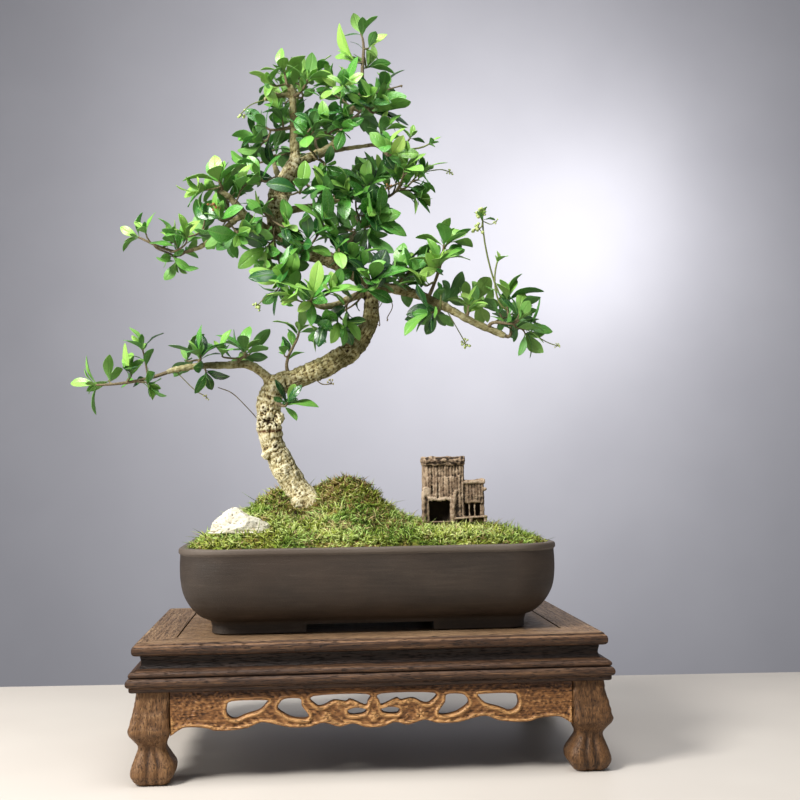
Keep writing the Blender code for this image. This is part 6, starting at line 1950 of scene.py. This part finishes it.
def add_leaf(pile, leaf, tone, draw):
    """A thin folded and arched blade that tapers to its stalk."""
    small = leaf.length < SMALL_LEAF
    leaf_rows = LEAF_ROWS[::2] + LEAF_ROWS[-1:] if small else LEAF_ROWS
    leaf_columns = LEAF_COLUMNS[::2] if small else LEAF_COLUMNS
    across = leaf.normal.cross(leaf.axis)
    half = leaf.length * LEAF_WIDTH / 2 * draw.uniform(0.82, 1.18)
    fold = draw.uniform(0.08, 0.30) + 0.15 * tone
    curl, droop, sway, phase, ripple = (draw.uniform(*reach) for reach in LEAF_BENDS)
    points = []
    for below in (-1, 1):
        for t, width in leaf_rows:
            rise = LEAF_ARCH * math.sin(math.pi * t ** 0.9) - droop * t ** 3
            aside = sway * math.sin(math.pi * t)
            spine = leaf.base + (leaf.axis * t + leaf.normal * rise + across * aside) * leaf.length
            for s in leaf_columns:
                wave = ripple * s * s * math.sin(9 * t + phase + 1.5 * s)
                lift = half * width * (fold * abs(s) - curl * s * s + wave)
                edge = LEAF_THICKNESS * (0.5 if abs(s) < 0.9 and t < 0.99 else 0.3)
                points.append(spine + across * (half * width * s) + leaf.normal * (lift - below * edge))
    size = len(points) // 2
    along = [t for t, _ in leaf_rows for _ in leaf_columns] * 2
    pile.add(points, blade_faces(len(leaf_rows), len(leaf_columns)), 0, tone=tone, along=along,
             across=leaf_columns * len(leaf_rows) * 2, under=[0.0] * size + [1.0] * size)


def add_twig(pile, route, start, end, tone, draw, sides=7):
    """A thin round stem that tapers, its radius a little uneven along it."""
    radii = [radius * (1 + draw.uniform(-0.06, 0.10)) for radius in between(start, end, len(route))]
    pile.add(*tube(route, radii, sides), 1, tone=tone)


def nearest_on_wood(place, lines):
    """The direction of the closest centreline, and whether the place is at that line's end."""
    best = None
    for line in lines:
        for index, (a, b) in enumerate(zip(line, line[1:])):
            share = min(max((place - a).dot(b - a) / (b - a).length_squared, 0), 1)
            distance = (place - a.lerp(b, share)).length
            if best is None or distance < best[0]:
                best = (distance, (b - a).normalized(), index == len(line) - 2 and share > 0.9)
    return best[1], best[2]


def stem_start(root, heading, wood_tree):
    """The point just outside the wood where a stem begins."""
    outside = root + heading * FAR_OUT
    closest = FAR_OUT
    for index in range(9):
        rim = round_axis(heading, 2 * math.pi * index / 8) * STEM_RADIUS * (index < 8)
        hit = wood_tree.ray_cast(outside + rim, -heading)
        if hit[0] is not None:
            closest = min(closest, hit[3])
    return outside - heading * (closest - JOINT_GAP - 0.1)


def spur_start(rosette):
    """Where the stem ends and the spur begins, and the spur's axis."""
    axis = Vector(rosette.axis).normalized()
    return Vector(rosette.place) - axis * SPUR_STEP * (rosette.leaves // 2), axis


def stem_handles(root, rosette, lines, wood_tree):
    """The main stem's curve: off the wood, and up to the first rosette's spur."""
    target, axis = spur_start(rosette)
    tangent, at_end = nearest_on_wood(root, lines)
    heading = tangent if at_end else square_to(tangent, target - root)
    start = stem_start(root, heading, wood_tree)
    reach = (target - start).length
    return heading, (start, start + heading * reach * 0.35, target - axis * reach * 0.3, target)


def fork_stops(handles, rosettes, half_fork):
    """How far along the main stem each twig forks off, well apart from each other."""
    samples = [(t / 20, bezier_point(handles, t / 20)) for t in range(5, 17)]
    stops = {}
    for index, rosette in enumerate(rosettes[1:], 1):
        place = Vector(rosette.place)
        costs = [((point - place).length + 0.4 * (point - handles[0]).length, t) for t, point in samples]
        stops[index] = min(costs, key=lambda row: row[0])[1]
    spread = {}
    previous = 0.0
    for index in sorted(stops, key=stops.get):
        previous = max(stops[index], previous + max(0.15, 2.5 * half_fork))
        spread[index] = min(previous, 1 - 2.5 * half_fork)
    return spread


def stem_rings(handles, heading, forks, half_fork):
    """The solid stem's square rings before and after each fork, by how far along they are."""
    stops = [t + side * half_fork for t in set(forks.values()) for side in (-1, 1)]
    extra = [t for t in (0.33, 0.66) if all(abs(t - stop) > 0.1 for stop in stops)]
    first = heading.cross(heading.orthogonal().normalized())
    rings = {}
    for t in sorted(stops + extra) + [1.0]:
        ahead = (bezier_point(handles, min(t + 0.02, 1)) - bezier_point(handles, t - 0.02)).normalized()
        first = square_to(ahead, first)
        second = ahead.cross(first)
        radius = (STEM_RADIUS + (TWIG_RADIUS - STEM_RADIUS) * t) / math.sqrt(2)
        centre = bezier_point(handles, t)
        rings[t] = [centre + (first * a + second * b) * radius for a, b in STEM_CORNERS]
    return rings


def twig_handles(fork, walls, rosette, corners):
    """The twig's curve that the solid has, found by its corners; else the straightest one."""
    place, axis = spur_start(rosette)
    aim = (place - fork).normalized()
    choices = []
    for begin in walls:
        facing = (begin - fork).normalized()
        out = (facing + aim * 0.6).normalized()
        reach = (place - begin).length
        for rise_rank, rise in enumerate(TWIG_BENDS):
            for lean_rank, lean in enumerate(TWIG_BENDS):
                twig = (begin, begin + out * reach * rise, place - axis * reach * lean, place)
                choices.append((facing.dot(aim) - 0.25 * (rise_rank + lean_rank), twig))
    choices.sort(key=lambda choice: -choice[0])
    for _, twig in choices:
        middle = bezier_point(twig, TWIG_STOP)
        gaps = np.abs(np.linalg.norm(corners - np.array(middle), axis=1) - TWIG_RADIUS)
        if (gaps < 0.05).sum() >= 4:
            return twig
    return choices[0][1]


def add_stems(pile, root, rosettes, lines, wood_tree, corners, youth, draw):
    """The main stem and its twigs; returns each rosette's twig as a route."""
    heading, handles = stem_handles(root, rosettes[0], lines, wood_tree)
    half_fork = FORK_STEP / 2 / (handles[3] - handles[0]).length
    forks = fork_stops(handles, rosettes, half_fork)
    rings = stem_rings(handles, heading, forks, half_fork)
    route = [handles[0] - heading * depth for depth in (5.0, 2.5)]
    route += [bezier_point(handles, t / 12) for t in range(13)] + [Vector(rosettes[0].place)]
    add_twig(pile, route, 1.7, 0.85, 0.0, draw, 9)
    twigs = {0: route[4:]}
    for index, t in forks.items():
        before, after = rings[t - half_fork], rings[t + half_fork]
        walls = [(before[i] + before[(i + 1) % 4] + after[i] + after[(i + 1) % 4]) / 4 for i in range(4)]
        fork = bezier_point(handles, t)
        twig = twig_handles(fork, walls, rosettes[index], corners)
        route = [fork, *(bezier_point(twig, step / 8) for step in range(9)), Vector(rosettes[index].place)]
        greenness = 0.9 if rosettes[index].length < YOUNG_LEAF else 0.05 + 0.25 * (youth > 0.58)
        add_twig(pile, route, 1.0, 0.65, greenness, draw)
        twigs[index] = route[2:]
    return twigs


def tone_near(youth, spread, draw):
    """A random tone about a youth, from 0 for the oldest leaf to 1 for the youngest."""
    return min(max(draw.gauss(youth, spread), 0), 1)


def clear_of_wood(leaf, wood_tree):
    """Whether a small leaf keeps off the trunk and the branches."""
    middle = leaf.base + leaf.axis * (leaf.length / 2)
    if all(low < value < high for (low, high), value in zip(BARE_TRUNK, middle)):
        return False
    near = wood_tree.find_nearest(leaf.base + leaf.axis * leaf.length)
    return near[3] > LEAF_CLEARANCE and wood_tree.ray_cast(leaf.base, leaf.axis, leaf.length)[0] is None


def add_rosette(pile, name, rosette_index, rosette, corners, youth, count, draw):
    """The solid's leaves of a rosette, and some smaller ones among them."""
    for index in range(rosette.leaves):
        leaf = kept_pose(name, rosette_index, rosette, index, corners)
        last = index == rosette.leaves - 1
        add_leaf(pile, leaf, tone_near(youth + 0.18 * last, 0.19, draw), draw)
    axis = Vector(rosette.axis).normalized()
    for step in range(count):
        turn = 2.4 * step + draw.uniform(0, 1.2) + rosette_index
        opening = draw.uniform(0.25, 0.95)
        length = rosette.length * draw.uniform(0.34, 0.66)
        leaf = extra_leaf(Vector(rosette.place), axis, turn, opening, length, draw)
        add_leaf(pile, leaf, tone_near(youth + 0.24, 0.12, draw), draw)


def add_side_shoot(pile, spot, along, length, youth, wood_tree, draw):
    """A short stem off a twig with a few leaves round its end."""
    turn = draw.uniform(0, 2 * math.pi)
    heading = (along * 0.75 + round_axis(along, turn) + UP * 0.35).normalized()
    reach = draw.uniform(5, 12)
    end = spot + heading * reach
    if wood_tree.find_nearest(end)[3] < SHOOT_CLEARANCE:
        return
    middle = spot.lerp(end, 0.5) + along * reach * 0.12
    add_twig(pile, [spot, middle, end, end + heading * 1.2], 0.8, 0.6, 0.2 * youth, draw, 6)
    for step in range(draw.choice((3, 4, 4, 5))):
        opening = draw.uniform(0.75, 1.25) if step < 3 else draw.uniform(0.1, 0.5)
        leaf = extra_leaf(end, heading, 2.4 * step + turn, opening, length * draw.uniform(0.55, 0.92), draw)
        if clear_of_wood(leaf, wood_tree):
            add_leaf(pile, leaf, tone_near(youth + 0.12 * (step > 2), 0.18, draw), draw)


def add_twig_leaves(pile, way, length, shoots, youth, wood_tree, draw):
    """Side shoots and single leaves along a twig."""
    long_way = sum((b - a).length for a, b in zip(way, way[1:]))
    for share in SHOOT_STOPS:
        low, part = divmod(share * (len(way) - 1), 1)
        before, after = way[int(low)], way[int(low) + 1]
        spot, along = before.lerp(after, part), (after - before).normalized()
        if draw.random() < (0.18 if shoots else 0.6) or length < LONG_LEAF:
            continue
        if long_way * share > 6 and draw.random() < min(0.75, long_way / 40) * shoots:
            add_side_shoot(pile, spot, along, length, youth, wood_tree, draw)
            continue
        turn, opening, size = (draw.uniform(*reach) for reach in ((0, 6.28), (0.7, 1.15), (0.5, 0.85)))
        leaf = extra_leaf(spot, along, turn, opening, length * size, draw)
        if clear_of_wood(leaf, wood_tree):
            add_leaf(pile, leaf, tone_near(youth - 0.06, 0.18, draw), draw)


def build_spray(name, root, rosettes, lines, wood_tree):
    """One leafy spray: stems, twigs, the solid's leaves and smaller ones between them."""
    corners = places(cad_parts[f"leaves_{name}"].data)
    draw = random.Random(f"looks of {name}")
    youth, shoots = YOUTH.get(name, USUAL_YOUTH), SHOOTS.get(name, 1.0)
    pile = Pile()
    twigs = add_stems(pile, Vector(root), rosettes, lines, wood_tree, corners, youth, draw)
    for index, rosette in enumerate(rosettes):
        small_leaves = 1 if shoots == 0 else 3 if rosette.length > LONG_LEAF else 2
        add_rosette(pile, name, index, rosette, corners, youth, small_leaves, draw)
        add_twig_leaves(pile, twigs[index], rosette.length, shoots, youth, wood_tree, draw)
    mesh = pile.mesh(f"spray_{name}", 55)
    add_piece(f"spray_{name}", mesh, [LEAF, TWIG], "leaf_green", f"leaves_{name}")
    return [place for way in twigs.values() for place in way]


# Thin twigs, threads and flower stems. Each has its places, the first of which moves to the
# closest wood, its radius and how green it is, then its buds: how many, how large, how fresh.
THIN_TWIGS = (
    (((-150, -24, 313), (-141, -25, 300), (-131, -26, 294)), 0.45, 0.3, 4, 1.2, 0.7),
    (((-93, 0, 274), (-97, -12, 284), (-110, -18, 297), (-122, -20, 302)), 0.38, 0.0, 0, 0.0, 0.0),
    (((-43, -2, 312), (-35, -7, 305), (-27, -8, 305)), 0.50, 0.0, 4, 1.5, 0.5),
    (((16, -6, 386), (14, -8, 372), (15, -8, 355)), 0.40, 0.0, 2, 0.9, 0.2),
    (((25, -6, 384), (26, -9, 372), (21, -10, 361)), 0.40, 0.0, 2, 0.9, 0.2),
    (((20, -6, 385), (18, -12, 376), (10, -12, 364)), 0.35, 0.0, 0, 0.0, 0.0),
    (((78, -22, 354), (84, -24, 342), (86, -25, 337)), 0.45, 0.8, 10, 1.9, 1.0),
    (((142, -28, 346), (154, -30, 338), (164, -31, 334)), 0.45, 0.8, 5, 1.1, 0.9),
    (((-72, -20, 380), (-81, -22, 378), (-88, -24, 371)), 0.50, 0.8, 10, 1.9, 1.0),
    (((-84, -10, 550), (-94, -13, 544), (-102, -14, 536)), 0.50, 1.0, 5, 1.9, 1.0),
    (((-116, -20, 447), (-121, -30, 451), (-124, -37, 453)), 0.80, 0.0, 10, 2.2, 0.0),
    (((58, -12, 491), (68, -14, 489), (76, -15, 487)), 0.45, 1.0, 7, 1.4, 1.0),
    (((104, -30, 440), (101, -31, 436), (98, -32, 434)), 0.60, 1.0, 12, 2.3, 1.0),
    (((102, -30, 441), (101, -30, 444), (101, -31, 447)), 0.70, 1.0, 10, 2.4, 1.0),
    (((104, -30, 438), (109, -31, 438), (114, -32, 441)), 0.40, 1.0, 3, 1.3, 1.0),
    (((19, -24, 468), (21, -25, 470), (23, -26, 472)), 0.60, 0.0, 7, 1.4, 0.05),
    (((16, -6, 558), (26, -8, 561), (37, -9, 564)), 0.70, 0.0, 1, 1.0, 0.2),
)


def build_thin_twigs(wood_points):
    """Threads, thin twigs and flower stems with their buds."""
    draw = random.Random(77)
    finder = finder_of(wood_points)
    pile = Pile()
    for stops, radius, green, buds, size, fresh in THIN_TWIGS:
        start = finder.find(Vector(stops[0]))[0]
        route = smooth_route([start, *stops[1:]], 4)
        pile.add(*tube(route, [radius * draw.uniform(0.85, 1.15) for _ in route], 6), 0, tone=green)
        end = route[-1]
        for _ in range(buds):
            way = Vector((draw.gauss(0, 1), draw.gauss(0, 1), draw.gauss(0, 1))).normalized()
            place = end + way * size * draw.uniform(1.0, 2.9)
            stalk = [end, end.lerp(place, 0.5), place]
            pile.add(*tube(stalk, [max(radius * 0.6, 0.3)] * 3, 5), 0, tone=green)
            reach = [size * draw.uniform(0.45, 0.75) for _ in range(3)]
            pile.add(*ellipsoid(place, reach, 5, 7), 1, tone=fresh * draw.uniform(0.8, 1.0))
    add_piece("thin_twigs", pile.mesh("thin_twigs", 60), [TWIG, BUD], "leaf_green")


def build_sprays():
    """All leafy sprays."""
    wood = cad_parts["trunk"].data
    wood_points = [Vector(point) for point in places(wood)]
    wood_tree = BVHTree.FromPolygons(wood_points, [tuple(face.vertices) for face in wood.polygons])
    lines = wood_lines()
    for name, root, rows in SPRAYS:
        wood_points += build_spray(name, root, [Rosette(*row) for row in rows], lines, wood_tree)
    build_thin_twigs(wood_points)


# Stage, light and camera

CAMERA_PLACE = (-49.0, -1029.0, 231.7)
CAMERA_TURN = (4.5, 3.3, -0.8)     # degrees to the right, up, and clockwise
CAMERA_LENS = 54.0
FAR = 3200.0
FLOOR_LEFT = (-FAR, 473.8, 0)     # the far corners of the floor
FLOOR_RIGHT = (FAR, 146.0, 0)
BACKDROP_Y = 2600.0
# Each light's name, place, the point that it looks at, its size, power and colour.
LIGHTS = (
    ("key", (-880, -740, 1090), (-40, 0, 260), (400, 400), 31.0, (1.0, 0.98, 0.95)),
    ("top", (100, -300, 1500), (0, 0, 200), (800, 800), 14.0, (1.0, 1.0, 1.0)),
    ("wall_pool", (335, 1560, 900), (335, BACKDROP_Y, 900), (540, 1250), 18.5, (1.0, 1.0, 1.0)),
    ("left_side", (-860, -180, 330), (-150, -20, 130), (260, 260), 1.5, (1.0, 0.97, 0.93)),
    ("wall_glow", (878, 2180, 960), (878, BACKDROP_Y, 960), (230, 380), 2.3, (1.0, 1.0, 1.0)),
)
SKY_COLOUR = (0.93, 0.96, 1.0, 1.0)
SKY_STRENGTH = 0.25


def stage_material(name, low, high, gloss, scale):
    """Plain painted surface with the faintest mottling."""
    s = Shade(name, Specular_IOR_Level=0.3)
    cloud = s.noise(scale, 3.0, 0.5)
    return s.finish(s.ramp(cloud, (0.3, *low), (0.7, *high)), s.mixed(((cloud, 0.1),), gloss), cloud, 0.1)


def add_sheet(name, corners, material):
    """A flat surface of the stage."""
    mesh = new_mesh(name, corners, [(0, 1, 2, 3)])
    paint(mesh, material)
    thing = placed(name, mesh)


def build_stage():
    """Pale floor and plain grey backdrop."""
    floor = stage_material("floor", (0.530, 0.486, 0.438), (0.585, 0.542, 0.490), 0.5, 0.004)
    add_sheet("floor", [(-FAR, -FAR, 0), (FAR, -FAR, 0), FLOOR_RIGHT, FLOOR_LEFT], floor)
    wall = stage_material("backdrop", (0.385, 0.380, 0.418), (0.415, 0.410, 0.448), 0.6, 0.003)
    add_sheet("backdrop", [(-2 * FAR, BACKDROP_Y, -FAR), (2 * FAR, BACKDROP_Y, -FAR),
                           (2 * FAR, BACKDROP_Y, 2 * FAR), (-2 * FAR, BACKDROP_Y, 2 * FAR)], wall)


def area_light(name, place, aim, size, power, colour):
    """A soft rectangular light that looks at a point."""
    light = bpy.data.lights.new(name, "AREA")
    light.shape = "RECTANGLE"
    light.size, light.size_y = (edge * MM for edge in size)
    light.energy = power
    light.color = colour
    thing = placed(name, light)
    thing.rotation_euler = (Vector(aim) - Vector(place)).to_track_quat("-Z", "Y").to_euler()
    thing.location = Vector(place) * MM + Vector(SHIFT)


def build_light():
    """Soft light from above and from the left front, and a pool of light on the backdrop."""
    world = bpy.data.worlds.new("studio")
    bpy.context.scene.world = world
    world.use_nodes = True
    sky = world.node_tree.nodes["Background"]
    sky.inputs["Color"].default_value = SKY_COLOUR
    sky.inputs["Strength"].default_value = SKY_STRENGTH
    for light in LIGHTS:
        area_light(*light)


def build_camera():
    """The camera at the photograph's place and angle."""
    yaw, pitch, roll = (math.radians(angle) for angle in CAMERA_TURN)
    ahead = Vector((math.sin(yaw) * math.cos(pitch), math.cos(yaw) * math.cos(pitch), math.sin(pitch)))
    level = Vector((math.cos(yaw), -math.sin(yaw), 0))
    above = level.cross(ahead)
    right = level * math.cos(roll) + above * math.sin(roll)
    up = above * math.cos(roll) - level * math.sin(roll)
    camera = bpy.data.cameras.new("camera")
    camera.lens = CAMERA_LENS
    camera.sensor_width = 36.0
    camera.clip_start = 0.01
    matrix = Matrix((right, up, -ahead)).transposed().to_4x4()
    matrix.translation = Vector(CAMERA_PLACE) * MM + Vector(SHIFT)
    bpy.context.scene.camera = placed("camera", camera)
    bpy.context.scene.camera.matrix_world = matrix


build_stand()
build_pot()
cover_soil()
build_cushion()
for name, seed, length in TUFT_LAYERS:
    build_tufts(name, seed, length)
build_stone()
build_hut()
build_trunk()
build_sprays()
build_stage()
build_light()
build_camera()
bpy.context.scene.view_settings.view_transform = "Standard"
